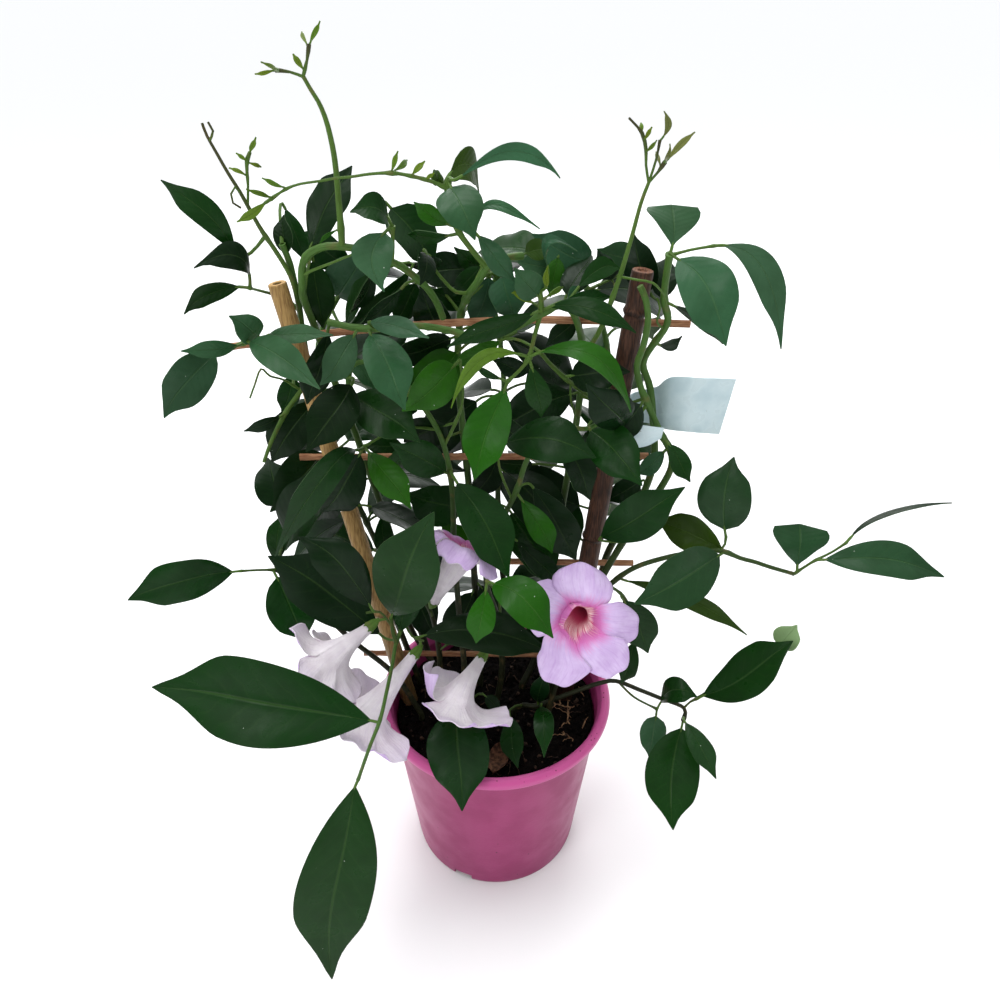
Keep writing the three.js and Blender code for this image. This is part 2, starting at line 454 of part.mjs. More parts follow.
// Leaves set by rule: shoot, seed, count, and the middle and half of the span of directions, in
// degrees from +X, in which they grow from the first stem
const RULE_LEAVES = [
  ['vine_back_left', 11, 20, 130, 170],
  ['vine_back_middle', 23, 14, 90, 150],
  ['vine_back_right', 37, 14, 70, 150],
  ['vine_left', 53, 8, 240, 130],
  ['vine_loop', 41, 7, 230, 150],
  ['vine_mid_left', 61, 3, 230, 120],
  ['vine_centre_top', 43, 4, 270, 160],
  ['vine_across', 47, 4, 290, 150],
  ['vine_right_top', 59, 3, 340, 120],
];
const DENSE_ZONE = [
  [296, 262], [352, 236], [430, 196], [500, 214], [560, 244], [628, 252], [680, 300],
  [668, 420], [672, 500], [626, 556], [560, 600], [480, 640], [420, 640], [386, 570],
  [296, 580], [262, 520], [268, 430], [290, 372],
];
const RULE_LEAF = {
  length: [40, 60], widthShare: 0.54, stalk: [5, 14], droop: [-22, 44], turn: 50, towardFront: 0.5,
};
const RULE_LIMIT = { back: -80, front: 14, low: 126 };
const TRIES_PER_LEAF = 12;

// Draws of 0 to 1 that come out alike each time
function draws(seed) {
  let state = seed;
  return () => {
    state = (state * 16807) % 2147483647;
    return state / 2147483647;
  };
}

// Outline of a blade: its half width at a share t of its length, as a share of the widest
const OUTLINES = {
  ovate: [0.74, 0.96],
  round: [0.6, 0.62],
  fan: [1.3, 0.36],
};
// The rows across a blade, by its length
const BLADE_ROWS = [
  { shorterThan: 16, at: [0.38] },
  { shorterThan: 64, at: [0.27, 0.66] },
  { shorterThan: Infinity, at: [0.17, 0.45, 0.76] },
];

function halfShare([a, b], t) {
  const widest = a / (a + b);
  return (t / widest) ** a * ((1 - t) / (1 - widest)) ** b;
}

// A blade's midrib, its side direction and its half width, from its base, tip and way of facing
function bladeFrame(base, tip, halfWidth, facing, turn, rise, middle, kind) {
  const run = sub(tip, base);
  const level = unit(cross(run, facing));
  const face = unit(cross(level, run));
  const c = Math.cos(turn * radians);
  const s = Math.sin(turn * radians);
  const side = add(scale(level, c), scale(face, s));
  const up = sub(scale(face, c), scale(level, s));
  const halfway = mix(base, tip, 0.5);
  const control = middle ? sub(scale(middle, 2), halfway) : add(halfway, scale(up, 2 * rise));
  return { base, tip, control, side, halfWidth, outline: OUTLINES[kind || 'ovate'] };
}

function midrib(blade, t) {
  const a = mix(blade.base, blade.control, t);
  const b = mix(blade.control, blade.tip, t);
  return { point: mix(a, b, t), along: unit(sub(b, a)) };
}

// A point of the blade, v of its half width away from the midrib
function bladePoint(blade, t, v) {
  const { point, along } = midrib(blade, t);
  const half = blade.halfWidth * halfShare(blade.outline, t);
  const up = unit(cross(along, blade.side));
  const lift = -FOLD * half * Math.abs(v);
  return add(point, add(scale(blade.side, half * v), scale(up, lift)));
}

function bladeSamples(blade) {
  const length = size(sub(blade.tip, blade.base)) + 1;
  const rows = Math.ceil(length / BLADE_SAMPLE_STEP);
  const points = [];
  for (let i = 0; i < rows; i += 1) {
    const t = (i + 0.75) / rows;
    const half = blade.halfWidth * halfShare(blade.outline, t);
    const columns = Math.max(1, Math.ceil(half / BLADE_SAMPLE_STEP));
    for (let j = -columns; j <= columns; j += 1) points.push(bladePoint(blade, t, j / columns));
  }
  return points;
}

// What is already in place: points with a radius, kept with the name of their shoot
const taken = [];

function take(owner, points, radius) {
  const centre = scale(points.reduce(add), 1 / points.length);
  const reach = Math.max(...points.map((p) => size(sub(p, centre))));
  taken.push({ owner, points, radius, centre, reach });
}

function isClear(owner, points, radius, minding) {
  const centre = scale(points.reduce(add), 1 / points.length);
  const reach = Math.max(...points.map((p) => size(sub(p, centre))));
  for (const other of taken) {
    const isOwn = other.owner === owner;
    if (isOwn && (!minding || other.radius > 0)) continue;
    const gap = LEAF_GAP + radius + other.radius;
    if (size(sub(centre, other.centre)) > reach + other.reach + gap) continue;
    for (const p of points) {
      if (size(sub(p, other.centre)) > other.reach + gap) continue;
      for (const q of other.points) {
        if (size(sub(p, q)) < gap) return false;
      }
    }
  }
  return true;
}

function straight(a, b, step) {
  const count = Math.max(1, Math.ceil(size(sub(b, a)) / step));
  return Array.from({ length: count + 1 }, (_, i) => mix(a, b, i / count));
}

// A smooth line through places, as points about one step apart
function smoothLine(places, step) {
  const line = [places[0]];
  for (let i = 0; i < places.length - 1; i += 1) {
    const p = [places[Math.max(i - 1, 0)], places[i], places[i + 1],
      places[Math.min(i + 2, places.length - 1)]];
    const count = Math.max(1, Math.round(size(sub(p[2], p[1])) / step));
    for (let k = 1; k <= count; k += 1) {
      const t = k / count;
      const point = [0, 1, 2].map((axis) => {
        const [a, b, c, d] = p.map((q) => q[axis]);
        return b + 0.5 * t * (c - a + t * (2 * a - 5 * b + 4 * c - d
          + t * (3 * (b - c) + d - a)));
      });
      line.push(point);
    }
  }
  return line;
}

// The point of some lines that lies nearest to a place
function nearestOn(lines, place) {
  let best = null;
  let gap = Infinity;
  for (const { line } of lines) {
    for (let i = 0; i < line.length - 1; i += 1) {
      const run = sub(line[i + 1], line[i]);
      const t = Math.min(1, Math.max(0, dot(sub(place, line[i]), run) / dot(run, run)));
      const point = add(line[i], scale(run, t));
      const d = size(sub(place, point));
      if (d < gap) {
        gap = d;
        best = point;
      }
    }
  }
  return best;
}

function stemLines(stems) {
  const lines = [];
  stems.forEach(([startRadius, endRadius, first, ...others], index) => {
    const places = others.map(at);
    if (index === 0) {
      const foot = onSoil(first);
      places.unshift(add(foot, [0, 0, 3]));
      const line = [add(foot, [0, 0, -ROOT_DEPTH]), ...smoothLine(places, STEM_STEP)];
      lines.push({ line, startRadius, endRadius });
      return;
    }
    places.unshift(nearestOn(lines, at(first)));
    lines.push({ line: smoothLine(places, TWIG_STEP), startRadius, endRadius });
  });
  return lines;
}

const radiusAt = (stem, i) => stem.startRadius
  + (stem.endRadius - stem.startRadius) * (i / (stem.line.length - 1));

function takeStem(owner, stem) {
  for (let i = 0; i < stem.line.length - 1; i += 1) {
    take(owner, straight(stem.line[i], stem.line[i + 1], BLADE_SAMPLE_STEP), radiusAt(stem, i));
  }
}

// Each leaf is tried where it was read, then with its tip and base nearer or farther
const SHIFTS = [
  [0, 0], [0, 5], [0, -5], [3, 10], [-3, -10], [0, 14], [0, -14], [6, 16], [-6, -16], [8, 24],
  [-8, -24], [12, 32], [-12, -32],
];

function bladeFromPlaces([, base, tip, width, turn, rise, middle, kind], [baseShift, tipShift]) {
  const nearer = ([across, down, front], shift) => at([across, down, front + shift]);
  const b = nearer(base, baseShift);
  const t = nearer(tip, tipShift);
  const facing = unit(sub(eye, mix(b, t, 0.5)));
  const seenWidth = width * distanceAhead(mix(b, t, 0.5)) / VIEW.focal;
  const half = seenWidth / 2 / Math.cos(turn * radians);
  const m = middle ? nearer(middle, (baseShift + tipShift) / 2) : null;
  return bladeFrame(b, t, half, facing, turn, rise, m, kind);
}

// A leaf close to a stem starts in it; one farther away has a stalk
function rooted(lines, blade) {
  const foot = nearestOn(lines, blade.base);
  if (size(sub(foot, blade.base)) > STALK_FROM) return { blade, petiole: [foot, blade.base] };
  return { blade: { ...blade, base: foot }, petiole: null };
}

const isFree = (owner, blade, petiole, minding) => isClear(owner, bladeSamples(blade), 0, minding)
  && (!petiole || isClear(owner, straight(petiole[0], petiole[1], BLADE_SAMPLE_STEP), 0.1, false));

function placeLeaf(owner, lines, row) {
  for (const minding of [true, false]) {
    for (const shift of SHIFTS) {
      const { blade, petiole } = rooted(lines, bladeFromPlaces(row, shift));
      if (isFree(owner, blade, petiole, minding)) {
        take(owner, bladeSamples(blade), 0);
        if (petiole) take(owner, straight(...petiole, BLADE_SAMPLE_STEP), PETIOLE_RADIUS);
        return { blade, petiole };
      }
    }
  }
  return null;
}

function isInside(polygon, [x, y]) {
  let inside = false;
  polygon.forEach(([x1, y1], i) => {
    const [x2, y2] = polygon[(i + 1) % polygon.length];
    if ((y1 > y) !== (y2 > y) && x < x1 + (x2 - x1) * (y - y1) / (y2 - y1)) inside = !inside;
  });
  return inside;
}

// One leaf by rule: a short stalk out from the stem, then a blade that hangs
function drawBlade(lines, draw, middle, halfSpan) {
  const { line } = lines[0];
  const k = 3 + Math.floor(draw() * (line.length - 3));
  const azimuth = (middle + (draw() * 2 - 1) * halfSpan) * radians;
  const outward = [Math.cos(azimuth), Math.sin(azimuth), 0];
  const pick = ([low, high]) => low + (high - low) * draw();
  const stalk = pick(RULE_LEAF.stalk);
  const base = add(line[k], add(scale(outward, stalk), [0, 0, stalk * 0.4]));
  const droop = pick(RULE_LEAF.droop) * radians;
  const length = pick(RULE_LEAF.length);
  const run = add(scale(outward, Math.cos(droop)), [0, 0, -Math.sin(droop)]);
  const tip = add(base, scale(run, length));
  const facing = add([0, -RULE_LEAF.towardFront, 1], scale(outward, 0.3));
  const turn = (draw() - 0.5) * RULE_LEAF.turn;
  const half = length * RULE_LEAF.widthShare / 2;
  return bladeFrame(base, tip, half, facing, turn, 4, null, 'ovate');
}

const isInBush = (blade) => bladeSamples(blade).every((p) => isInside(DENSE_ZONE, seenAt(p))
  && RACK_Y - p[1] > RULE_LIMIT.back && RACK_Y - p[1] < RULE_LIMIT.front
  && p[2] > RULE_LIMIT.low);

function placeByRule(owner, lines, [, seed, count, middle, halfSpan]) {
  const draw = draws(seed);
  const leaves = [];
  for (let tries = 0; tries < count * TRIES_PER_LEAF && leaves.length < count; tries += 1) {
    const { blade, petiole } = rooted(lines, drawBlade(lines, draw, middle, halfSpan));
    if (isInBush(blade) && isFree(owner, blade, petiole, true)) {
      take(owner, bladeSamples(blade), 0);
      if (petiole) take(owner, straight(...petiole, BLADE_SAMPLE_STEP), PETIOLE_RADIUS);
      leaves.push({ blade, petiole });
    }
  }
  return leaves;
}

// Solids

function geometryFrom(points, faces) {
  const geometry = new THREE.BufferGeometry();
  geometry.setAttribute('position', new THREE.Float32BufferAttribute(points.flat(), 3));
  geometry.setIndex(faces.flat());
  return geometry;
}

function solidOf(geometry) {
  const plain = geometry.clone();
  plain.deleteAttribute('normal');
  plain.deleteAttribute('uv');
  const merged = mergeVertices(plain, 1e-4);
  return new wasm.Manifold(new wasm.Mesh({
    numProp: 3,
    vertProperties: new Float32Array(merged.attributes.position.array),
    triVerts: new Uint32Array(merged.index.array),
  }));
}

function geometryOf(solid) {
  const { numProp, vertProperties, triVerts } = solid.getMesh();
  const geometry = new THREE.BufferGeometry();
  const points = [];
  for (let i = 0; i < vertProperties.length; i += numProp) {
    points.push(vertProperties[i], vertProperties[i + 1], vertProperties[i + 2]);
  }
  geometry.setAttribute('position', new THREE.Float32BufferAttribute(points, 3));
  geometry.setIndex(Array.from(triVerts));
  return geometry;
}

// A closed tube with flat ends along a line of points; sides bigger in one direction when flat
function tube(line, radiusOf, sides, flat = [1, 1], start = [0, 0, 1]) {
  const points = [];
  const faces = [];
  let sideways = start;
  line.forEach((p, i) => {
    const before = line[Math.max(i - 1, 0)];
    const after = line[Math.min(i + 1, line.length - 1)];
    const along = unit(sub(after, before));
    if (Math.abs(dot(along, sideways)) > 0.95) sideways = [1, 0, 0];
    const u = unit(sub(sideways, scale(along, dot(along, sideways))));
    const w = cross(along, u);
    for (let k = 0; k < sides; k += 1) {
      const turn = (2 * Math.PI * k) / sides;
      points.push(add(p, add(
        scale(u, radiusOf(i) * flat[0] * Math.cos(turn)),
        scale(w, radiusOf(i) * flat[1] * Math.sin(turn)),
      )));
    }
    sideways = u;
  });
  for (let i = 0; i < line.length - 1; i += 1) {
    for (let k = 0; k < sides; k += 1) {
      const a = i * sides + k;
      const b = i * sides + ((k + 1) % sides);
      faces.push([a, b, b + sides], [a, b + sides, a + sides]);
    }
  }
  const last = (line.length - 1) * sides;
  for (let k = 1; k < sides - 1; k += 1) {
    faces.push([0, k + 1, k], [last, last + k, last + k + 1]);
  }
  return geometryFrom(points, faces);
}

// A leaf as one closed plate: a narrow stalk from the stem, then the blade with its fold along
// the midrib, then the point. Both faces have the same triangles.
function leafGeometry({ blade, petiole }) {
  const first = midrib(blade, 0).along;
  const rows = [];
  const stalkRow = (centre, along) => {
    const lean = sub(blade.side, scale(along, dot(blade.side, along)));
    const side = size(lean) > 0.3 ? unit(lean) : unit(cross(along, midrib(blade, 0.5).along));
    const up = cross(along, side);
    const edge = scale(side, STALK_HALF_WIDTH);
    rows.push({ up, points: [sub(centre, edge), add(centre, edge)] });
  };
  if (petiole) {
    const along = unit(sub(petiole[1], petiole[0]));
    stalkRow(petiole[0], along);
    stalkRow(petiole[1], unit(add(along, first)));
  } else {
    stalkRow(blade.base, first);
  }
  const length = size(sub(blade.tip, blade.base));
  BLADE_ROWS.find(({ shorterThan }) => length < shorterThan).at.forEach((t) => {
    const up = unit(cross(midrib(blade, t).along, blade.side));
    rows.push({ up, points: [-1, 0, 1].map((v) => bladePoint(blade, t, v)) });
  });
  rows.push({ up: unit(cross(midrib(blade, 1).along, blade.side)), points: [blade.tip] });
  return plateGeometry(rows);
}

// A closed plate over rows of one, two or three points
function plateGeometry(rows) {
  const half = BLADE_THICKNESS / 2;
  const top = [];
  const bottom = [];
  const starts = [];
  rows.forEach(({ up, points }) => {
    starts.push(top.length);
    points.forEach((p) => {
      top.push(add(p, scale(up, half)));
      bottom.push(sub(p, scale(up, half)));
    });
  });
  const below = top.length;
  const faces = [];
  const both = (a, b, c) => faces.push([a, c, b], [below + a, below + b, below + c]);
  const wallBetween = (a, b) => faces.push([a, below + b, below + a], [a, b, below + b]);
  for (let i = 0; i < rows.length - 1; i += 1) {
    const [n, m] = [rows[i].points.length, rows[i + 1].points.length];
    const [a, b] = [starts[i], starts[i + 1]];
    if (n === m) {
      for (let k = 0; k < n - 1; k += 1) {
        both(a + k, a + k + 1, b + k + 1);
        both(a + k, b + k + 1, b + k);
      }
    } else if (n === 2) {
      both(a, a + 1, b + 1);
      both(a, b + 1, b);
      both(a + 1, b + 2, b + 1);
    } else {
      for (let k = 0; k < n - 1; k += 1) both(a + k, a + k + 1, b);
    }
    wallBetween(b, a);
    wallBetween(a + n - 1, b + m - 1);
  }
  wallBetween(0, 1);
  return geometryFrom([...top, ...bottom], faces);
}

const MAIN_SIDES = 4;
const TWIG_SIDES = 3;
const STALK_SIDES = 3;

function shootSolid(stems, leaves, extras = []) {
  const pieces = stems.map((stem, index) => solidOf(
    tube(stem.line, (i) => radiusAt(stem, i), index === 0 ? MAIN_SIDES : TWIG_SIDES),
  ));
  leaves.forEach((leaf) => pieces.push(solidOf(leafGeometry(leaf))));
  return [...pieces, ...extras].reduce((whole, piece) => whole.add(piece));
}

// Flowers: a green calyx on the shoot, and a corolla of its own: a bent tube that widens to a
// mouth, with five lobes
const CALYX = { length: 6, foot: 1.4, mouth: 3 };
const COROLLA = { tube: [2.6, 5.2, 8], at: [0, 0.55, 1], spread: 0.36, wall: 0.9 };
const LOBES = 5;
// Round each lobe: the direction in degrees from the notch before it, and the share of its length
const LOBE_POINTS = [[0, 0.46], [12, 0.93], [36, 1], [60, 0.93]];

function flowerFrame([, , calyx, mouth, facing, lobe, reflex, roll]) {
  const start = at(calyx);
  const end = at(mouth);
  const face = unit(facing);
  const axis = unit(sub(end, start));
  const calyxEnd = add(start, scale(axis, CALYX.length));
  const root = add(calyxEnd, scale(axis, CLEARANCE));
  const reach = size(sub(end, root)) * COROLLA.spread;
  const path = [root, add(root, scale(axis, reach)), sub(end, scale(face, reach)), end];
  return { start, calyxEnd, path, end, face, lobe, roll, reflex: reflex * radians };
}

// The corolla's axis at t, a cubic curve that leaves the calyx straight
function corollaAxis([p0, p1, p2, p3], t) {
  const a = mix(mix(p0, p1, t), mix(p1, p2, t), t);
  const b = mix(mix(p1, p2, t), mix(p2, p3, t), t);
  return { centre: mix(a, b, t), along: unit(sub(b, a)) };
}

// Rings of the corolla's front face, which is the inside of its tube, or of its back face
function corollaRings({ path, end, face, lobe, reflex }, isBack) {
  const rings = COROLLA.at.map((t, i) => {
    const radius = COROLLA.tube[i] - (isBack ? 0 : COROLLA.wall);
    const { centre, along } = corollaAxis(path, t);
    return { centre, along, spread: () => ({ radius, rise: 0 }) };
  });
  const thick = isBack ? COROLLA.wall : 0;
  const mouth = COROLLA.tube[COROLLA.tube.length - 1] - COROLLA.wall;
  for (const share of [0.5, 1]) {
    rings.push({
      centre: end,
      along: face,
      spread: (length) => {
        const tilt = reflex * share * length;
        return {
          radius: mouth + lobe * share * length * Math.cos(tilt) - thick * Math.sin(tilt),
          rise: 2 - lobe * share * length * Math.sin(tilt) - thick * Math.cos(tilt),
        };
      },
    });
  }
  return rings;
}

function corollaGeometry(flower) {
  const around = LOBES * LOBE_POINTS.length;
  const points = [];
  const faces = [];
  const up = unit(sub([0, 0, 1], scale(flower.face, flower.face[2])));
  const surface = (rings) => rings.forEach(({ centre, along, spread }) => {
    const u = unit(sub(up, scale(along, dot(along, up))));
    const w = cross(along, u);
    for (let k = 0; k < around; k += 1) {
      const [degrees, length] = LOBE_POINTS[k % LOBE_POINTS.length];
      const first = flower.roll + Math.floor(k / LOBE_POINTS.length) * (360 / LOBES);
      const turn = (first + degrees) * radians;
      const { radius, rise } = spread(length);
      points.push(add(add(centre, scale(along, rise)), add(
        scale(u, radius * Math.cos(turn)),
        scale(w, radius * Math.sin(turn)),
      )));
    }
  });
  const back = corollaRings(flower, true);
  const front = corollaRings(flower, false).slice(1);
  surface(back);
  surface(front);
  const band = (a, b) => {
    for (let k = 0; k < around; k += 1) {
      const next = (k + 1) % around;
      faces.push([a + k, a + next, b + next], [a + k, b + next, b + k]);
    }
  };
  for (let i = 0; i < back.length - 1; i += 1) band(i * around, (i + 1) * around);
  const inside = back.length * around;
  for (let i = 0; i < front.length - 1; i += 1) {
    band(inside + (i + 1) * around, inside + i * around);
  }
  band((back.length - 1) * around, inside + (front.length - 1) * around);
  points.push(back[0].centre, front[0].centre);
  const backHub = points.length - 2;
  const frontHub = points.length - 1;
  for (let k = 0; k < around; k += 1) {
    const next = (k + 1) % around;
    faces.push([backHub, next, k], [frontHub, inside + k, inside + next]);
  }
  return geometryFrom(points, faces);
}

const calyxSolid = ({ start, calyxEnd }) => solidOf(tube(
  [add(start, scale(unit(sub(start, calyxEnd)), 1)), mix(start, calyxEnd, 0.5), calyxEnd],
  (i) => [CALYX.foot, CALYX.mouth * 0.9, CALYX.mouth][i],
  6,
));

// The pot: a tapered wall with a rolled lip, a raised floor with drain holes round a centre pad,
// and a foot ring with three notches
function potSolid() {
  const inner = WALL_TOP_RADIUS - WALL;
  const lipInner = POT_RADIUS - LIP_WIDTH;
  const footInner = FOOT_RADIUS - 2.4;
  const profile = [
    [0, 0],
    [CENTRE_PAD_RADIUS, 0],
    [CENTRE_PAD_RADIUS + 1.5, FLOOR_RISE],
    [footInner - 0.5, FLOOR_RISE],
    [footInner, 0],
    [FOOT_RADIUS - 0.6, 0],
    [FOOT_RADIUS, 3.4],
    [WALL_TOP_RADIUS, POT_HEIGHT - LIP_HEIGHT],
    [POT_RADIUS - 0.6, POT_HEIGHT - LIP_HEIGHT],
    [POT_RADIUS, POT_HEIGHT - 2.2],
    [POT_RADIUS - 2, POT_HEIGHT],
    [lipInner, POT_HEIGHT - 1],
    [inner, POT_HEIGHT - LIP_HEIGHT - 1],
    [FOOT_RADIUS - WALL, FLOOR_RISE + FLOOR_THICKNESS],
    [0, FLOOR_RISE + FLOOR_THICKNESS],
  ].map(([r, z]) => new THREE.Vector2(r, z));
  const wall = new THREE.LatheGeometry(profile, POT_SIDES).rotateX(Math.PI / 2);
  let solid = solidOf(wall);
  for (let k = 0; k < FOOT_NOTCH.count; k += 1) {
    const azimuth = (FOOT_NOTCH.firstAzimuth + (360 / FOOT_NOTCH.count) * k) * radians;
    const notch = new THREE.BoxGeometry(9, FOOT_NOTCH.width, 2 * FOOT_NOTCH.height)
      .translate(FOOT_RADIUS - 0.5, 0, 0)
      .rotateZ(azimuth);
    solid = solid.subtract(solidOf(notch));
  }
  for (let k = 0; k < DRAIN_HOLE.count; k += 1) {
    const azimuth = (k + 0.5) * 2 * Math.PI / DRAIN_HOLE.count;
    const hole = new THREE.CylinderGeometry(DRAIN_HOLE.radius, DRAIN_HOLE.radius, 20, 8)
      .rotateX(Math.PI / 2)
      .translate(DRAIN_HOLE.ring * Math.cos(azimuth), DRAIN_HOLE.ring * Math.sin(azimuth), 5);
    solid = solid.subtract(solidOf(hole));
  }
  return solid;
}

// The soil fills the pot to a rippled top, with a plain hole round each stem and stake
function soilSolid(standing) {
  const bottom = FLOOR_RISE + FLOOR_THICKNESS + CLEARANCE;
  const wallRadius = (z) => FOOT_RADIUS - WALL + (WALL_TOP_RADIUS - FOOT_RADIUS)
    * ((z - FLOOR_RISE - FLOOR_THICKNESS) / (POT_HEIGHT - LIP_HEIGHT - FLOOR_RISE)) - 2 * CLEARANCE;
  const profile = [
    [0, bottom],
    [wallRadius(bottom) - 0.6, bottom],
    [wallRadius(SOIL_TOP) - 0.4, SOIL_TOP - 1],
    [40, SOIL_TOP],
    [20, SOIL_TOP],
    [0, SOIL_TOP],
  ].map(([r, z]) => new THREE.Vector2(r, z));
  const lump = new THREE.LatheGeometry(profile, SOIL_SIDES).rotateX(Math.PI / 2);
  const { position } = lump.attributes;
  for (let i = 0; i < position.count; i += 1) {
    const [x, y, z] = [position.getX(i), position.getY(i), position.getZ(i)];
    const ripple = Math.sin(x * 0.17 + 1) * Math.cos(y * 0.21 + 0.4) * SOIL_RIPPLE;
    if (z > SOIL_TOP - 0.5) position.setZ(i, z + ripple);
  }
  return standing.reduce((soil, { line, radius }) => {
    const deeper = sub(line[0], [0, 0, CLEARANCE]);
    return soil.subtract(solidOf(tube([deeper, ...line.slice(1)], radius, HOLE_SIDES)));
  }, solidOf(lump));
}

// The cane rack: two stakes that spread upwards in a V, with joints along them, and four split
// rungs behind them
const STAKES = [
  {
    name: 'stake_left', foot: [409, 697], top: [277, 283, 0], radii: [5.2, 4.3],
    joints: [0.27, 0.55, 0.83],
  },
  {
    name: 'stake_right', foot: [563, 695], top: [643, 270, 0], radii: [5.8, 5.0],
    joints: [0.2, 0.46, 0.7, 0.93],
  },
];
const STAKE_BURIED = 84;
const JOINT = { halfLength: 2.4, swell: 0.7 };
const RUNGS = [
  { name: 'rung_1', places: [[222, 348], [350, 331], [520, 320], [690, 324]] },
  { name: 'rung_2', places: [[300, 457], [648, 456]] },
  { name: 'rung_3', places: [[330, 559], [633, 563]] },
  { name: 'rung_4', places: [[364, 653], [600, 655]] },
];
// A rung's front face stands this share of its half depth in front of its middle
const RUNG_FACE = Math.cos(Math.PI / RUNG_SIDES);

function stakeLine({ foot, top, radii, joints }) {
  const ground = onSoil(foot);
  const soilPoint = [ground[0], RACK_Y, SOIL_TOP];
  const head = at(top);
  const run = sub(head, soilPoint);
  const bottom = sub(soilPoint, scale(run, STAKE_BURIED / size(run)));
  const stops = [0];
  const length = size(sub(head, bottom));
  joints.forEach((share) => {
    const middle = (STAKE_BURIED + share * size(run)) / length;
    const half = JOINT.halfLength / length;
    stops.push(middle - half, middle, middle + half);
  });
  stops.push(1);
  return {
    line: stops.map((t) => mix(bottom, head, t)),
    radius: (i) => radii[0] + (radii[1] - radii[0]) * stops[i]
      + (i % 3 === 2 && i < stops.length - 1 ? JOINT.swell : 0),
  };
}

const shareDown = ({ foot, top }, down) => (foot[1] - down) / (foot[1] - top[1]);

// How far the middle of a rung lies behind the middle of a stake that it is tied to
function behind({ radii, foot, top }, down) {
  const radius = radii[0] + (radii[1] - radii[0]) * shareDown({ foot, top }, down) ** 0.9;
  return radius + CLEARANCE + RUNG_HALF_DEPTH * RUNG_FACE;
}

function rungLine({ places }) {
  const [atLeft, atRight] = STAKES.map((stake) => {
    const share = shareDown(stake, places[0][1]);
    const across = stake.foot[0] + (stake.top[0] - stake.foot[0]) * share;
    return { across, depth: behind(stake, places[0][1]) };
  });
  const depthAt = (across) => atLeft.depth
    + (atRight.depth - atLeft.depth) * (across - atLeft.across) / (atRight.across - atLeft.across);
  return smoothLine(places.map(([across, down]) => at([across, down, -depthAt(across)])), 60);
}

// The plant label: a thin plastic strip that loops round the right stems, with its wide bare
// panel at the right. Each row is the upper edge, the lower edge and the place in front.
const LABEL_ROWS = [
  [[736, 379], [719, 434], 2],
  [[704, 378], [692, 432], 5],
  [[672, 377], [666, 429], 0],
  [[658, 386], [654, 424], -7],
  [[644, 390], [640, 422], -9],
  [[632, 394], [628, 424], -4],
  [[630.5, 402], [626.5, 432], 6],
  [[636, 422], [632, 446], 15],
  [[648, 426], [646, 446], 17],
  [[664, 428], [661, 438], 16],
];
const LABEL_THICKNESS = 0.7;

function labelGeometry() {
  const edges = LABEL_ROWS.map(([top, bottom, front]) => [
    at([...top, front]), at([...bottom, front]),
  ]);
  const points = [];
  edges.forEach(([top, bottom], i) => {
    const before = edges[Math.max(i - 1, 0)];
    const after = edges[Math.min(i + 1, edges.length - 1)];
    const along = unit(sub(add(after[0], after[1]), add(before[0], before[1])));
    const out = scale(unit(cross(along, sub(top, bottom))), LABEL_THICKNESS / 2);
    points.push(add(top, out), add(bottom, out), sub(bottom, out), sub(top, out));
  });
  const faces = [];
  for (let i = 0; i < edges.length - 1; i += 1) {
    for (let k = 0; k < 4; k += 1) {
      const a = i * 4 + k;
      const b = i * 4 + ((k + 1) % 4);
      faces.push([a, b, b + 4], [a, b + 4, a + 4]);
    }
  }
  const last = (edges.length - 1) * 4;
  faces.push([0, 2, 1], [0, 3, 2], [last, last + 1, last + 2], [last, last + 2, last + 3]);
  return geometryFrom(points, faces);
}

// Points over the faces of a geometry, no more than a step apart
function pointsOver(geometry, step) {
  const { position } = geometry.attributes;
  const corner = (i) => [position.getX(i), position.getY(i), position.getZ(i)];
  const points = [];
  for (let f = 0; f < geometry.index.count; f += 3) {
    const [a, b, c] = [0, 1, 2].map((k) => corner(geometry.index.getX(f + k)));
    const longest = Math.max(size(sub(b, a)), size(sub(c, b)), size(sub(a, c)));
    const count = Math.max(1, Math.ceil(longest / step));
    for (let i = 0; i <= count; i += 1) {
      for (let j = 0; j <= count - i; j += 1) {
        points.push(add(a, add(scale(sub(b, a), i / count), scale(sub(c, a), j / count))));
      }
    }
  }
  return points;
}

// Everything that leaves must keep clear of goes in first
const stakes = STAKES.map((stake) => ({ ...stake, ...stakeLine(stake) }));
stakes.forEach(({ name, line, radii }) => {
  take(name, straight(line[0], line[line.length - 1], BLADE_SAMPLE_STEP), radii[0]);
});
RUNGS.forEach((rung) => {
  const line = rungLine(rung);
  for (let i = 0; i < line.length - 1; i += 1) {
    take(rung.name, straight(line[i], line[i + 1], BLADE_SAMPLE_STEP), RUNG_HALF_HEIGHT);
  }
});
const label = labelGeometry();
take('label', pointsOver(label, BLADE_SAMPLE_STEP), 0.4);
const potRim = Array.from({ length: 150 }, (_, k) => [
  (POT_RADIUS - LIP_WIDTH / 2) * Math.cos(k * 2.4 * radians),
  (POT_RADIUS - LIP_WIDTH / 2) * Math.sin(k * 2.4 * radians),
  POT_HEIGHT - LIP_WIDTH / 2,
]);
take('pot', potRim, LIP_WIDTH / 2);

const shoots = [...SHOOTS, ...BACK_SHOOTS].map(([name, stems, rows]) => (
  { name, lines: stemLines(stems), rows }));
shoots.forEach(({ name, lines }) => lines.forEach((stem) => takeStem(name, stem)));

const flowers = FLOWERS.map((row) => {
  const frame = flowerFrame(row);
  const geometry = corollaGeometry(frame);
  take(row[0], pointsOver(geometry, BLADE_SAMPLE_STEP), 0.2);
  return { name: row[0], owner: row[1], frame, geometry };
});

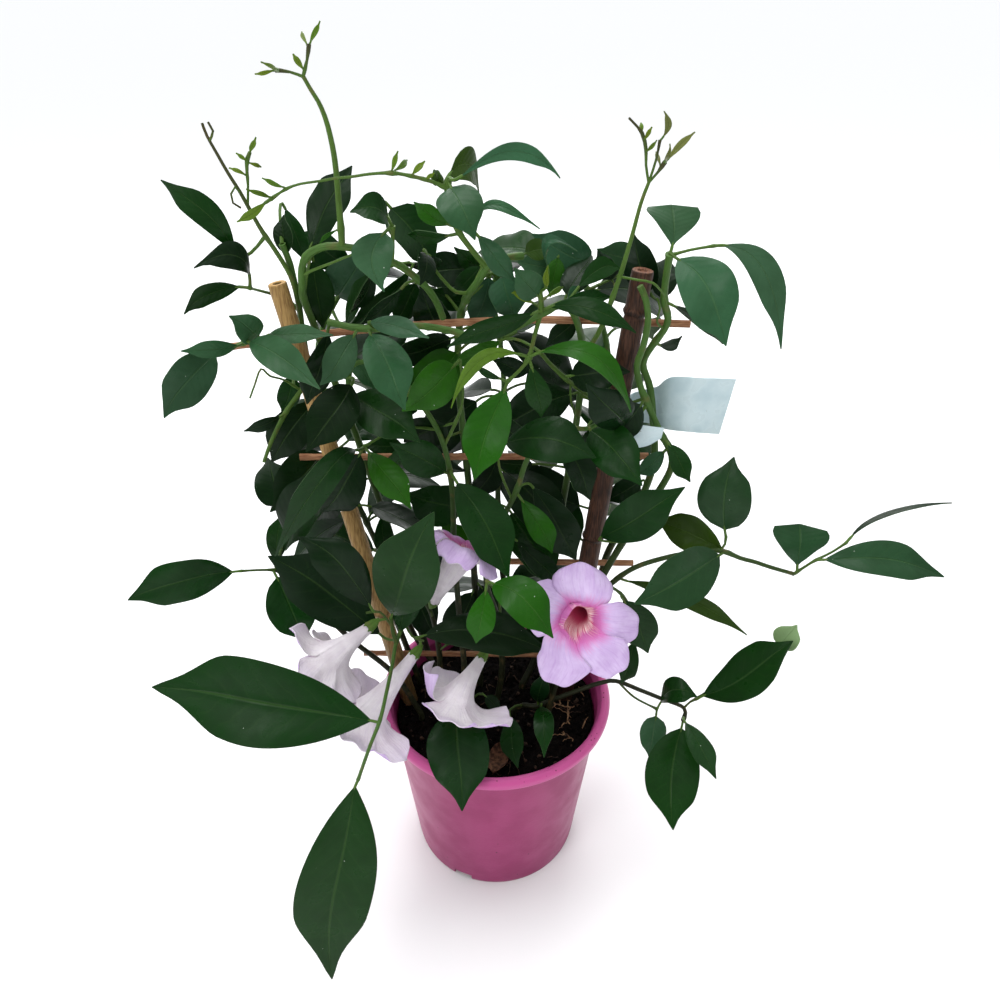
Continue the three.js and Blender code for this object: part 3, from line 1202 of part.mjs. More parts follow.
shoots.forEach((shoot) => {
  shoot.leaves = shoot.rows.map((row) => placeLeaf(shoot.name, shoot.lines, row)).filter(Boolean);
});
RULE_LEAVES.forEach((rule) => {
  const shoot = shoots.find(({ name }) => name === rule[0]);
  shoot.leaves.push(...placeByRule(shoot.name, shoot.lines, rule));
});

// The part
const plant = new THREE.Group();
plant.name = 'potted_bower_vine';

function mesh(name, geometry, color, roughness, metalness = 0) {
  const flat = geometry.index ? geometry.toNonIndexed() : geometry;
  flat.computeVertexNormals();
  const piece = new THREE.Mesh(
    flat,
    new THREE.MeshStandardMaterial({ color, roughness, metalness }),
  );
  piece.name = name;
  plant.add(piece);
}

mesh('pot', geometryOf(potSolid()), '#b84f8c', 0.45);

// Each hole's flat sides stay clear of the stem or stake in it
const holeRadius = (radius) => (radius + CLEARANCE) / Math.cos(Math.PI / HOLE_SIDES);
const standing = shoots.map(({ lines: [stem] }) => (
  { line: stem.line.slice(0, 2), radius: () => holeRadius(stem.startRadius) }));
standing.push(...stakes.map(({ line, radii }) => (
  { line: [line[0], line[2]], radius: () => holeRadius(radii[0]) })));
mesh('soil', geometryOf(soilSolid(standing)), '#1e1712', 0.95);

stakes.forEach(({ name, line, radius }) => {
  mesh(name, tube(line, radius, STAKE_SIDES), name === 'stake_left' ? '#a98a56' : '#3d2a1e', 0.6);
});
RUNGS.forEach((rung) => {
  const shape = [1, RUNG_HALF_DEPTH / RUNG_HALF_HEIGHT];
  mesh(rung.name, tube(rungLine(rung), () => RUNG_HALF_HEIGHT, RUNG_SIDES, shape), '#7a452c', 0.6);
});
mesh('label', label, '#d4dfe2', 0.35);

shoots.forEach(({ name, lines, leaves }) => {
  const own = flowers.filter(({ owner }) => owner === name);
  const extras = own.flatMap(({ frame }) => {
    const foot = nearestOn(lines, frame.start);
    const stalk = tube([foot, frame.start], () => PETIOLE_RADIUS, STALK_SIDES);
    return size(sub(foot, frame.start)) > 0.5 ? [calyxSolid(frame), solidOf(stalk)]
      : [calyxSolid(frame)];
  });
  mesh(name, geometryOf(shootSolid(lines, leaves, extras)), '#2f5a36', 0.4);
});
flowers.forEach(({ name, geometry }) => mesh(name, geometry, '#dcc3e6', 0.6));

export default plant;
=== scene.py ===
"""The looks of a potted bower vine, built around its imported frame: a finer skin over each solid,
the soil's litter, and a floor and studio light. Lengths are in millimetres until a piece is made,
and in metres from there on."""

import math
import random

import bpy
import numpy as np
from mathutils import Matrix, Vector, kdtree, noise


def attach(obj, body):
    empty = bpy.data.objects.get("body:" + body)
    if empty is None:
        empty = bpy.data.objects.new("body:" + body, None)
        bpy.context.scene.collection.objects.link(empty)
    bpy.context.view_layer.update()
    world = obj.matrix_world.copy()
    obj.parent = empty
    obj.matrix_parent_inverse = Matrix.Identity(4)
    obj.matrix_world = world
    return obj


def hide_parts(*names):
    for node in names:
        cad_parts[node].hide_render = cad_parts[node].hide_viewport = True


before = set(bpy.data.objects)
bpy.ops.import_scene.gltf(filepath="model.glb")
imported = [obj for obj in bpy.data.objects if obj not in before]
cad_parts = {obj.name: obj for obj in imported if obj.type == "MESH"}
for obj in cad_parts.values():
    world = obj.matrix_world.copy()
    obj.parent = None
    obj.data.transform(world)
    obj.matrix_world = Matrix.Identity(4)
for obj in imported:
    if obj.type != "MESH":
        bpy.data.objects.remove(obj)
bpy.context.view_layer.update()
MM = 0.001
ORIGIN = np.zeros(3)
X_AXIS = np.array([1.0, 0.0, 0.0])
Y_AXIS = np.array([0.0, 1.0, 0.0])
UPWARD = np.array([0.0, 0.0, 1.0])
dice = random.Random(5)

# The viewpoint from which the plant's places were read, as in the part's source: a place is
# across and down on a frame of 1000 by 1000, and millimetres in front of the rack
EYE = np.array([0.0, -350.0, 483.0])
PITCH = math.radians(32.8)
YAW = math.radians(0.45)
FOCAL = 800.0
CENTRE = 500.0
SENSOR = 36.0
RACK_Y = 6.5
SOIL_TOP = 106.0
AHEAD = np.array([
    math.sin(YAW) * math.cos(PITCH), math.cos(YAW) * math.cos(PITCH), -math.sin(PITCH)])
RIGHT = np.array([math.cos(YAW), -math.sin(YAW), 0.0])
ABOVE = np.array([
    math.sin(YAW) * math.sin(PITCH), math.cos(YAW) * math.sin(PITCH), math.cos(PITCH)])


def add_object(name, data):
    thing = bpy.data.objects.new(name, data)
    bpy.context.scene.collection.objects.link(thing)
    return thing


camera_data = bpy.data.cameras.new("camera")
camera_data.sensor_width = SENSOR
camera_data.lens = SENSOR * FOCAL / (2 * CENTRE)
camera_data.clip_start = 0.01
camera = add_object("camera", camera_data)
camera.location = EYE * MM
camera.rotation_euler = (math.pi / 2 - PITCH, 0, -YAW)
bpy.context.scene.camera = camera


# Places and lines, worked out as in the part's source
def unit(a):
    return a / (math.sqrt(float(a @ a)) or 1.0)


def size(a):
    return math.sqrt(float(a @ a))


def mix(a, b, t):
    return a * (1 - t) + b * t


def mix_thrice(a, b, c, t):
    """A point on the bend from a to c that b draws aside."""
    return mix(mix(a, b, t), mix(b, c, t), t)


def ease(t, low, high):
    s = np.clip((t - low) / (high - low), 0, 1)
    return s * s * (3 - 2 * s)


def bump(distance, width):
    """1 at a distance of 0, falling to nothing some widths away."""
    return math.exp(-(distance / width) ** 2)


def level_way(azimuth):
    return np.array([math.cos(azimuth), math.sin(azimuth), 0.0])


def ray_through(across, down):
    return AHEAD + RIGHT * ((across - CENTRE) / FOCAL) + ABOVE * ((CENTRE - down) / FOCAL)


def at(place):
    across, down, front = place
    ray = ray_through(across, down)
    return EYE + ray * ((RACK_Y - front - EYE[1]) / ray[1])


def on_soil(place):
    ray = ray_through(place[0], place[1])
    return EYE + ray * ((SOIL_TOP - EYE[2]) / ray[2])


def spline(places, i, t):
    """A point on the smooth curve through places, a share t of the way from the i-th to the
    next."""
    a, b = places[max(i - 1, 0)], places[i]
    c, d = places[i + 1], places[min(i + 2, len(places) - 1)]
    return b + 0.5 * t * (c - a + t * (2 * a - 5 * b + 4 * c - d + t * (3 * (b - c) + d - a)))


def smooth_line(places, step):
    line = [places[0]]
    for i in range(len(places) - 1):
        count = max(1, math.floor(size(places[i + 1] - places[i]) / step + 0.5))
        line += [spline(places, i, k / count) for k in range(1, count + 1)]
    return line


def nearest_on(lines, place):
    best, gap = None, math.inf
    for stem in lines:
        line = stem["line"]
        for a, b in zip(line[:-1], line[1:]):
            run = b - a
            t = min(1.0, max(0.0, float((place - a) @ run) / float(run @ run)))
            point = a + run * t
            d = size(place - point)
            if d < gap:
                best, gap = point, d
    return best


# Stems
ROOT_DEPTH = 24.0
FIRST_RISE = 3.0
STEM_STEP = 26.0
TWIG_STEP = 14.0
FINE_STEP = 3.0


def stem_lines(stems, stem_step, twig_step):
    """The lines of a shoot's stems. The first rises from the soil, and each other from the
    nearest point on those before it."""
    lines = []
    for index, (start_radius, end_radius, first, *others) in enumerate(stems):
        places = [at(p) for p in others]
        if index == 0:
            foot = on_soil(first)
            places.insert(0, foot + UPWARD * FIRST_RISE)
            line = [foot - UPWARD * ROOT_DEPTH] + smooth_line(places, stem_step)
        else:
            places.insert(0, nearest_on(lines, at(first)))
            line = smooth_line(places, twig_step)
        lines.append({"line": line, "radii": (start_radius, end_radius)})
    return lines


# Where each blade of the frame lies. The source moves a leaf nearer, base and tip, by the first
# of these pairs that keeps it clear of the others, and the frame's corners tell which that was.
SHIFTS = [
    (0, 0), (0, 5), (0, -5), (3, 10), (-3, -10), (0, 14), (0, -14), (6, 16), (-6, -16),
    (8, 24), (-8, -24), (12, 32), (-12, -32),
]
BLADE_THICKNESS = 0.8
STALK_FROM = 8.0
CORNER_REACH = 0.1


def blade_frame(base, tip, half_width, facing, turn, rise, middle, kind):
    run = tip - base
    level = unit(np.cross(run, facing))
    face = unit(np.cross(level, run))
    c, s = math.cos(math.radians(turn)), math.sin(math.radians(turn))
    side = level * c + face * s
    up = face * c - level * s
    halfway = (base + tip) / 2
    control = middle * 2 - halfway if middle is not None else halfway + up * (2 * rise)
    return {"base": base, "tip": tip, "control": control, "side": side,
            "half": half_width, "kind": kind or "ovate"}


def midrib(blade, t):
    a = mix(blade["base"], blade["control"], t)
    b = mix(blade["control"], blade["tip"], t)
    return mix(a, b, t), unit(b - a)


def blade_from_places(row, shift):
    _, base, tip, width, turn, rise, middle, kind = (list(row) + [None, None])[:8]
    base_shift, tip_shift = shift

    def nearer(place, more):
        return at((place[0], place[1], place[2] + more))

    b = nearer(base, base_shift)
    t = nearer(tip, tip_shift)
    centre = (b + t) / 2
    half = width * float((centre - EYE) @ AHEAD) / FOCAL / 2 / math.cos(math.radians(turn))
    m = nearer(middle, (base_shift + tip_shift) / 2) if middle else None
    return blade_frame(b, t, half, unit(EYE - centre), turn, rise, m, kind)


def rooted(lines, blade):
    """A blade, and the foot of its stalk if it stands off its stem. One that doesn't starts on
    the stem itself."""
    foot = nearest_on(lines, blade["base"])
    if size(foot - blade["base"]) > STALK_FROM:
        return blade, foot
    return {**blade, "base": foot}, None


class Corners:
    """The corners of a CAD node, to ask whether a blade of the frame ends at a point."""

    def __init__(self, node):
        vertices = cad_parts[node].data.vertices
        self.tree = kdtree.KDTree(len(vertices))
        for i, vertex in enumerate(vertices):
            self.tree.insert(vertex.co, i)
        self.tree.balance()

    def hold(self, blade):
        up = unit(np.cross(midrib(blade, 1)[1], blade["side"])) * (BLADE_THICKNESS / 2)
        return all(
            self.tree.find(Vector((blade["tip"] + edge) * MM))[2] < CORNER_REACH * MM
            for edge in (up, -up))


def hand_leaves(corners, lines, rows):
    found = []
    for row in rows:
        for shift in SHIFTS:
            blade, foot = rooted(lines, blade_from_places(row, shift))
            if corners.hold(blade):
                found.append({"blade": blade, "foot": foot, "tone": row[0]})
                break
    return found


# Leaves that a rule places, with the draws of the part's source
RULE_LENGTH = (40, 60)
RULE_WIDTH_SHARE = 0.54
RULE_STALK = (5, 14)
RULE_DROOP = (-22, 44)
RULE_TURN = 50
RULE_RISE = 4
RULE_TOWARD_FRONT = 0.5
RULE_BARE_POINTS = 3
TRIES_PER_LEAF = 12
DRAW_FACTOR = 16807
DRAW_LIMIT = 2147483647


def draws(seed):
    state = seed
    while True:
        state = (state * DRAW_FACTOR) % DRAW_LIMIT
        yield state / DRAW_LIMIT


def draw_blade(lines, draw, middle, half_span):
    line = lines[0]["line"]

    def pick(span):
        return span[0] + (span[1] - span[0]) * next(draw)

    k = RULE_BARE_POINTS + math.floor(next(draw) * (len(line) - RULE_BARE_POINTS))
    outward = level_way(math.radians(middle + (next(draw) * 2 - 1) * half_span))
    stalk = pick(RULE_STALK)
    base = line[k] + outward * stalk + UPWARD * (stalk * 0.4)
    droop = math.radians(pick(RULE_DROOP))
    length = pick(RULE_LENGTH)
    run = outward * math.cos(droop) - UPWARD * math.sin(droop)
    facing = np.array([0, -RULE_TOWARD_FRONT, 1.0]) + outward * 0.3
    turn = (next(draw) - 0.5) * RULE_TURN
    half = length * RULE_WIDTH_SHARE / 2
    return blade_frame(base, base + run * length, half, facing, turn, RULE_RISE, None, "ovate")


def rule_leaves(corners, lines, seed, count, middle, half_span):
    draw = draws(seed)
    found = []
    for _ in range(count * TRIES_PER_LEAF):
        if len(found) == count:
            break
        blade, foot = rooted(lines, draw_blade(lines, draw, middle, half_span))
        if corners.hold(blade):
            found.append({"blade": blade, "foot": foot, "tone": "rule"})
    return found


# The shoots: name, then stems, then leaves, as in the part's source. A stem is its two radii
# and its places. A leaf is its tone, base, tip, width as seen, turn about the midrib, rise of
# the midrib and, where it bends strongly, the place of its middle and its outline.
SHOOTS = [
  ["vine_left", [
    [2.0, 1.4, [420, 684], [404, 640, -16], [384, 590, -16], [362, 540, -15], [344, 480, -15],
      [326, 420, -15], [310, 370, -14], [303, 335, -13], [300, 312, -8], [296, 290, -3],
      [290, 264, 0], [282, 244, 2]],
    [1.2, 0.8, [299, 300, -4], [290, 275, 2], [275, 250, 6], [262, 231, 8], [250, 210, 10],
      [240, 192, 10], [228, 173, 9], [216, 152, 8], [207, 136, 8], [202, 123, 8]],
    [0.8, 0.7, [209, 141, 8], [213, 131, 9], [208, 122, 10]],
    [0.8, 0.7, [248, 206, 10], [248, 185, 10], [247, 172, 11], [247, 160, 11], [250, 152, 11]],
    [0.7, 0.7, [241, 194, 10], [235, 187, 12], [231, 194, 14], [233, 203, 15], [241, 208, 15]],
    [1.0, 0.8, [300, 312, -8], [288, 300, -10], [272, 294, -10], [257, 290, 0], [250, 288, 8]],
    [1.2, 0.9, [307, 360, -14], [290, 358, -13], [276, 347, -4], [262, 339, 3], [244, 343, 8],
      [223, 350, 10]],
    [1.4, 1.0, [310, 372, -14], [300, 392, -12], [286, 412, -8], [272, 440, -3], [264, 462, 0]],
    [0.8, 0.7, [300, 390, -12], [284, 380, -8], [270, 376, 0], [261, 369, 6], [255, 384, 7],
      [250, 398, 6]]
  ], [
    ["mid", [237, 254, 12], [161, 180, 14], 27, 14, 3, [202, 214, 16]],
    ["dark", [250, 288, 10], [194, 268, 26], 26, -18, 0, [237, 255, 18]],
    ["mid", [248, 288, 9], [184, 314, 22], 23, 22, 0, [212, 291, 16]],
    ["dark", [288, 260, 0], [284, 215, -4], 17, 40, 2],
    ["grey", [263, 336, 6], [229, 316, 18], 29, 0, 2],
    ["grey", [244, 343, 11], [181, 351, 28], 17, 25, 4],
    ["grey", [222, 350, 12], [164, 418, 40], 45, 8, 3, [187, 379, 28]],
    ["grey", [249, 342, 10], [320, 389, 36], 33, 6, 4],
    ["grey", [269, 335, 7], [333, 335, 22], 21, 12, 5],
    ["dark", [286, 414, -6], [244, 431, 4], 12, 30, 2],
    ["new", [249, 153, 11], [256, 137, 13], 5, 0, 1],
    ["new", [247, 161, 11], [236, 153, 13], 4, 0, 1],
    ["new", [247, 162, 11], [261, 167, 13], 4, 0, 1],
    ["new", [248, 176, 11], [229, 168, 13], 4, 0, 1],
    ["mid", [285, 208, -18], [305, 262, -14], 20, 12, 2],
    ["mid", [292, 375, -18], [282, 413, -14], 22, 12, 2]
  ]],
  ["vine_loop", [
    [2.1, 1.6, [440, 690], [424, 640, -24], [404, 580, -24], [386, 520, -24], [358, 440, -23],
      [334, 380, -22], [316, 330, -14], [304, 300, -2], [302, 285, 5], [302, 268, 8],
      [306, 257, 9], [315, 250, 10], [328, 246, 11], [345, 247, 11], [368, 251, 11],
      [390, 261, 11], [402, 267, 10], [415, 277, 9], [427, 288, 7], [437, 303, 3],
      [443, 318, -1]],
    [1.5, 0.9, [342, 248, 11], [341, 228, 12], [339, 205, 12], [337, 180, 12], [334, 155, 12],
      [330, 135, 11], [325, 117, 10], [318, 101, 9], [311, 90, 9], [303, 76, 9]],
    [0.8, 0.7, [303, 77, 9], [290, 72, 10], [275, 70, 11]],
    [0.8, 0.7, [303, 77, 9], [307, 60, 9], [309, 44, 9]],
    [0.9, 0.7, [303, 276, 7], [311, 271, 10], [334, 262, 14], [356, 253, 16]],
    [1.0, 0.9, [392, 262, 11], [393, 245, 13], [392, 226, 14]]
  ], [
    ["grey", [395, 223, 15], [384, 292, 34], 40, 10, 3, [375, 254, 26]],
    ["mid", [391, 224, 14], [350, 212, 18], 28, -25, 2, [374, 207, 17]],
    ["dark", [303, 245, 6], [352, 166, -4], 40, 20, 3, [327, 205, 2]],
    ["bright", [327, 226, 10], [320, 243, 14], 5, 0, 1],
    ["dark", [374, 268, 2], [350, 312, 4], 12, 50, 2],
    ["dark", [402, 288, 2], [360, 324, 4], 12, 50, 2],
    ["new", [276, 70, 11], [255, 74, 13], 4, 0, 1],
    ["new", [277, 70, 11], [261, 62, 13], 4, 0, 1],
    ["new", [301, 69, 9], [293, 54, 10], 6, 0, 1],
    ["new", [309, 46, 9], [320, 21, 9], 5, 0, 1],
    ["new", [308, 47, 9], [302, 32, 10], 4, 0, 1],
    ["mid", [313, 260, -18], [323, 328, -14], 33, -12, 2],
    ["mid", [390, 207, -10], [436, 269, -6], 48, 12, 2],
    ["mid", [372, 514, -18], [388, 554, -14], 20, 12, 2],
    ["dark", [406, 584, -20], [436, 636, -12], 34, 10, 2],
    ["mid", [403, 445, -18], [363, 445, -14], 20, 12, 2],
    ["grey", [349, 358, -18], [375, 390, -14], 20, 12, 2]
  ]],
  ["vine_centre_top", [
    [2.1, 1.6, [480, 684], [480, 640, -17], [474, 570, -17], [470, 500, -17], [464, 440, -16],
      [458, 380, -16], [458, 345, -16], [461, 314, -15], [466, 299, -6], [473, 288, 5],
      [480, 279, 9],
      [487, 268, 10], [505, 258, 10], [522, 256, 6]],
    [1.3, 1.0, [487, 268, 10], [472, 250, 11], [459, 232, 11], [450, 210, 11], [447, 190, 11],
      [450, 178, 11]],
    [1.0, 0.8, [466, 299, 2], [456, 292, 2], [445, 282, 0], [434, 268, 2], [424, 250, 4]],
    [0.9, 0.7, [447, 188, 11], [430, 181, 13], [411, 176, 15], [392, 173, 16], [370, 174, 17],
      [350, 177, 18], [337, 178, 18], [320, 181, 17], [300, 184, 16], [286, 189, 15],
      [271, 199, 14]],
    [0.9, 0.8, [456, 228, 11], [464, 226, 11], [471, 228, 11]]
  ], [
    ["grey", [447, 184, 14], [475, 240, 34], 45, 6, 4],
    ["grey", [459, 178, 12], [560, 178, 28], 17, 8, 0, [518, 156, 18]],
    ["olive", [440, 180, 8], [479, 194, 2], 30, 25, 0, [464, 162, 4]],
    ["olive", [444, 187, 10], [434, 170, 12], 14, 20, 2],
    ["grey", [472, 229, 12], [540, 229, 22], 11, 10, 0, [494, 206, 16]],
    ["grey", [476, 237, 12], [515, 281, 20], 22, 10, 3],
    ["bright", [445, 233, 14], [414, 202, 14], 18, 10, 3],
    ["mid", [450, 239, 8], [408, 234, 6], 14, 30, 2],
    ["dark", [430, 246, 3], [420, 285, 10], 20, 25, 3],
    ["dark", [440, 243, 0], [434, 268, 4], 11, 30, 2],
    ["olive", [520, 256, 6], [548, 250, 0], 20, 25, 3],
    ["new", [268, 201, 14], [237, 222, 18], 9, 0, 1],
    ["new", [270, 199, 14], [246, 189, 16], 5, 0, 1],
    ["new", [287, 189, 15], [262, 178, 16], 5, 0, 1],
    ["new", [391, 173, 16], [398, 151, 16], 5, 0, 1],
    ["new", [392, 172, 16], [407, 160, 18], 6, 0, 1],
    ["new", [411, 176, 15], [425, 161, 15], 6, 0, 1],
    ["new", [425, 179, 13], [434, 173, 13], 4, 0, 1],
    ["mid", [460, 511, -18], [406, 493, -14], 48, 12, 2],
    ["dark", [478, 590, -13], [448, 642, -6], 34, 10, 2],
    ["dark", [482, 584, -13], [518, 636, -6], 36, 10, 2],
    ["dark", [458, 333, -18], [390, 357, -14], 33, 30, 2],
    ["grey", [490, 277, -18], [470, 327, -14], 33, 30, 2],
    ["mid", [416, 283, -24], [394, 325, -20], 29, 30, 2],
    ["dark", [496, 462, -18], [474, 496, -14], 28, 12, 2],
    ["mid", [467, 303, -24], [429, 289, -20], 22, 12, 2],
    ["mid", [486, 271, -18], [454, 247, -14], 20, 12, 2],
    ["mid", [481, 266, -10], [453, 296, -6], 20, 12, 2]
  ]],
  ["vine_across", [
    [2.1, 1.5, [522, 688], [538, 650, -17], [550, 590, -17], [560, 520, -17], [572, 450, -17],
      [580, 395, -17], [583, 352, -15], [577, 322, 0], [565, 304, 10], [541, 314, 15],
      [510, 330, 16], [478, 338, 15], [452, 331, 14], [420, 326, 14], [390, 328, 13],
      [358, 328, 12], [328, 322, 10]],
    [1.4, 0.9, [583, 356, -16], [588, 352, -8], [592, 344, 0], [600, 330, 5], [608, 310, 8],
      [617, 285, 10], [622, 270, 11], [632, 236, 11], [641, 203, 10], [649, 182, 10]],
    [0.8, 0.7, [649, 183, 10], [646, 165, 10], [646, 150, 10], [642, 133, 10], [629, 118, 12]],
    [0.8, 0.7, [649, 183, 10], [656, 160, 10], [660, 140, 10]],
    [0.8, 0.7, [649, 183, 10], [658, 172, 10], [665, 162, 11]],
    [0.8, 0.7, [620, 277, 11], [638, 280, 18], [653, 283, 18], [663, 294, 13], [666, 304, 11]],
    [1.1, 0.9, [541, 315, 15], [534, 338, 18], [529, 358, 20], [519, 371, 21], [507, 382, 22]],
    [0.9, 0.8, [541, 314, 15], [541, 302, 18], [540, 292, 20]],
    [1.3, 1.0, [581, 395, -17], [592, 398, -12], [572, 384, -4], [552, 366, 2], [540, 352, 6]],
    [0.8, 0.7, [568, 382, -5], [571, 400, -2], [576, 420, 0], [577, 440, 2]]
  ], [
    ["bright", [507, 382, 23], [474, 480, 44], 45, 8, 3],
    ["bright", [533, 358, 21], [631, 412, 36], 24, 14, 0, [592, 354, 34]],
    ["mid", [542, 314, 18], [636, 333, 32], 21, 16, 3, [590, 306, 27]],
    ["mid", [540, 313, 18], [447, 347, 36], 22, 10, 4],
    ["grey", [366, 334, 17], [405, 410, 44], 46, 8, 4],
    ["grey", [358, 334, 16], [320, 385, 42], 31, 8, 4],
    ["grey", [370, 322, 15], [429, 338, 28], 22, 12, 3],
    ["new", [526, 357, 21], [451, 408, 38], 15, 25, 0, [482, 360, 32]],
    ["mid", [533, 360, 18], [541, 417, 24], 25, 10, 3],
    ["mid", [535, 345, 14], [572, 310, 6], 20, 20, 3],
    ["mid", [500, 376, 20], [476, 368, 24], 8, 0, 1],
    ["dark", [566, 378, 0], [630, 372, 12], 38, 10, 3],
    ["dark", [329, 326, 11], [307, 404, 14], 30, 10, 3],
    ["dark", [552, 580, -14], [592, 640, -6], 38, 10, 2],
    ["dark", [546, 612, -13], [520, 652, -8], 26, 10, 2],
    ["mid", [546, 308, 13], [612, 297, 4], 17, 20, 2],
    ["grey", [541, 298, 18], [514, 268, 24], 30, 0, 2],
    ["mid", [578, 288, 6], [622, 270, 3], 20, 20, 0, [600, 268, 2]],
    ["grey", [560, 300, 10], [579, 286, 16], 10, 10, 1],
    ["grey", [548, 268, 14], [577, 251, 10], 10, 20, 0, [548, 240, 14]],
    ["dark", [566, 296, 4], [592, 256, -4], 30, 20, 2],
    ["dark", [612, 280, -6], [598, 250, -12], 24, 10, 2],
    ["new", [539, 291, 20], [517, 274, 24], 6, 0, 1],
    ["new", [536, 296, 18], [512, 293, 22], 7, 0, 1],
    ["new", [545, 292, 19], [563, 287, 21], 6, 0, 1],
    ["new", [546, 287, 19], [548, 266, 22], 6, 0, 1],
    ["new", [645, 140, 10], [652, 127, 11], 4, 0, 1],
    ["new", [643, 134, 10], [641, 123, 12], 4, 0, 1],
    ["new", [647, 152, 10], [657, 140, 13], 4, 0, 1],
    ["bronze", [660, 141, 10], [664, 111, 10], 7, 0, 0, [668, 126, 10]],
    ["bronze", [664, 163, 11], [695, 132, 12], 7, 0, 1],
    ["bronze", [666, 161, 11], [670, 144, 12], 4, 0, 1],
    ["bronze", [662, 166, 11], [656, 152, 12], 4, 0, 1],
    ["bright", [500, 341, -4], [452, 365, 0], 22, 12, 2],
    ["dark", [576, 320, -18], [546, 346, -14], 20, 12, 2],
    ["dark", [533, 464, -18], [493, 462, -14], 20, 12, 2]
  ]],
  ["vine_right_top", [
    [2.3, 1.6, [574, 684], [586, 650, -17], [597, 600, -15], [606, 557, -15], [626, 522, -10],
      [643, 494, -1], [654, 460, 1], [653, 420, 0], [650, 388, -1], [643, 364, -2],
      [652, 346, -1], [664, 330, 0], [668, 318, 0], [664, 300, 2], [666, 278, 5],
      [670, 254, 9]],
    [0.9, 0.8, [671, 256, 9], [690, 250, 10], [713, 246, 11]],
    [0.8, 0.7, [666, 330, 0], [657, 322, 4], [660, 308, 6], [657, 298, 4]]
  ], [
    ["grey", [669, 253, 11], [726, 346, 36], 54, 6, 3, [709, 292, 26]],
    ["grey", [671, 251, 8], [672, 205, -6], 54, 0, 2, [675, 228, 2], "fan"],
    ["grey", [713, 246, 12], [781, 349, 32], 28, 16, 0, [766, 268, 22]],
    ["dark", [666, 302, 3], [723, 344, 8], 10, 55, 2],
    ["dark", [654, 338, -4], [682, 336, -12], 12, 20, 0, [668, 346, -8]],
    ["dark", [662, 300, -2], [668, 257, -10], 27, 10, 2],
    ["dark", [650, 292, -9], [634, 234, -13], 34, 10, 3],
    ["dark", [641, 481, -18], [605, 501, -14], 23, 12, 2]
  ]],
  ["vine_right_inner", [
    [2.2, 1.5, [548, 698], [570, 650, 12], [588, 605, 13], [606, 570, 13], [640, 515, 13],
      [658, 492, 12], [671, 468, 11], [670, 450, 9], [660, 432, 9], [648, 405, 9],
      [640, 385, 9], [637, 365, 9], [643, 347, 9], [648, 322, 9], [646, 300, 10],
      [640, 286, 10]]
  ], [
    ["mid", [600, 538, 17], [685, 487, 36], 44, 10, 4],
    ["mid", [590, 430, 12], [642, 486, 32], 46, 8, 4],
    ["mid", [666, 440, 12], [690, 482, 22], 18, 30, 2],
    ["grey", [668, 452, 13], [636, 474, 22], 18, 10, 2],
    ["dark", [626, 426, 10], [586, 384, 6], 42, 0, 3],
    ["dark", [648, 404, 10], [606, 440, 8], 30, 20, 3]
  ]],
  ["vine_mid_left", [
    [1.9, 1.2, [466, 706], [464, 662, 9], [458, 600, 7], [454, 545, 4], [452, 488, 9],
      [442, 440, 11], [420, 402, 10], [396, 374, 9], [374, 362, 8], [352, 366, 9],
      [348, 392, 12]],
    [1.0, 0.8, [446, 446, 11], [462, 404, 12], [460, 360, 15]],
    [1.0, 0.8, [436, 430, 11], [400, 428, 9], [364, 447, 14]]
  ], [
    ["bright", [458, 357, 17], [402, 411, 34], 44, 12, 4],
    ["mid", [350, 396, 15], [420, 442, 38], 47, 8, 4],
    ["bright", [362, 449, 18], [411, 509, 40], 30, 18, 4],
    ["mid", [357, 450, 20], [275, 556, 30], 30, 8, 4, [318, 478, 38]],
    ["mid", [456, 481, 20], [509, 578, 46], 50, 8, 4],
    ["mid", [455, 479, 15], [390, 443, 28], 35, 12, 3],
    ["dark", [445, 414, 6], [404, 442, 2], 38, 10, 2],
    ["dark", [452, 560, 8], [408, 570, 4], 34, 20, 2],
    ["dark", [420, 380, 4], [388, 420, 2], 34, 20, 2],
    ["dark", [352, 384, 14], [306, 452, 22], 44, 10, 3],
    ["dark", [364, 449, 12], [322, 512, 14], 44, 10, 3]
  ]],
  ["vine_mid_right", [
    [1.9, 1.2, [496, 708], [502, 668, 7], [498, 620, 10], [486, 578, 13], [498, 530, 11],
      [516, 492, 10], [530, 455, 10], [560, 430, 10], [590, 428, 10], [612, 412, 8]],
    [0.9, 0.8, [512, 500, 10], [500, 470, 12], [498, 445, 15]],
    [0.9, 0.8, [499, 628, 10], [500, 610, 18], [497, 594, 32], [487, 581, 52]]
  ], [
    ["mid", [500, 441, 17], [596, 458, 38], 48, 10, 4, [548, 440, 30]],
    ["bright", [489, 579, 54], [553, 638, 74], 42, 10, 4, [521, 601, 67]],
    ["bright", [484, 583, 52], [476, 643, 62], 28, 10, 3],
    ["bright", [524, 498, 14], [552, 553, 26], 25, 12, 3],
    ["dark", [532, 486, 8], [576, 560, 14], 38, 12, 3],
    ["dark", [516, 540, 10], [562, 588, 16], 24, 12, 3],
    ["dark", [606, 420, 6], [586, 470, 2], 40, 12, 3],
    ["dark", [530, 440, 6], [500, 420, -2], 26, 12, 3],
    ["dark", [560, 432, 6], [590, 500, 8], 34, 12, 3]
  ]],
  ["vine_low_left", [
    [1.9, 1.3, [438, 704], [440, 662, 4], [434, 622, 10], [422, 600, 16], [408, 618, 25],
      [397, 640, 34], [392, 666, 50], [387, 690, 68], [380, 720, 86], [370, 746, 94],
      [358, 780, 98]],
    [1.2, 1.0, [396, 646, 34], [393, 632, 34], [391, 618, 34]],
    [0.9, 0.8, [432, 618, 12], [431, 612, 17]],
    [0.9, 0.8, [406, 624, 27], [412, 636, 33], [424, 641, 36]],
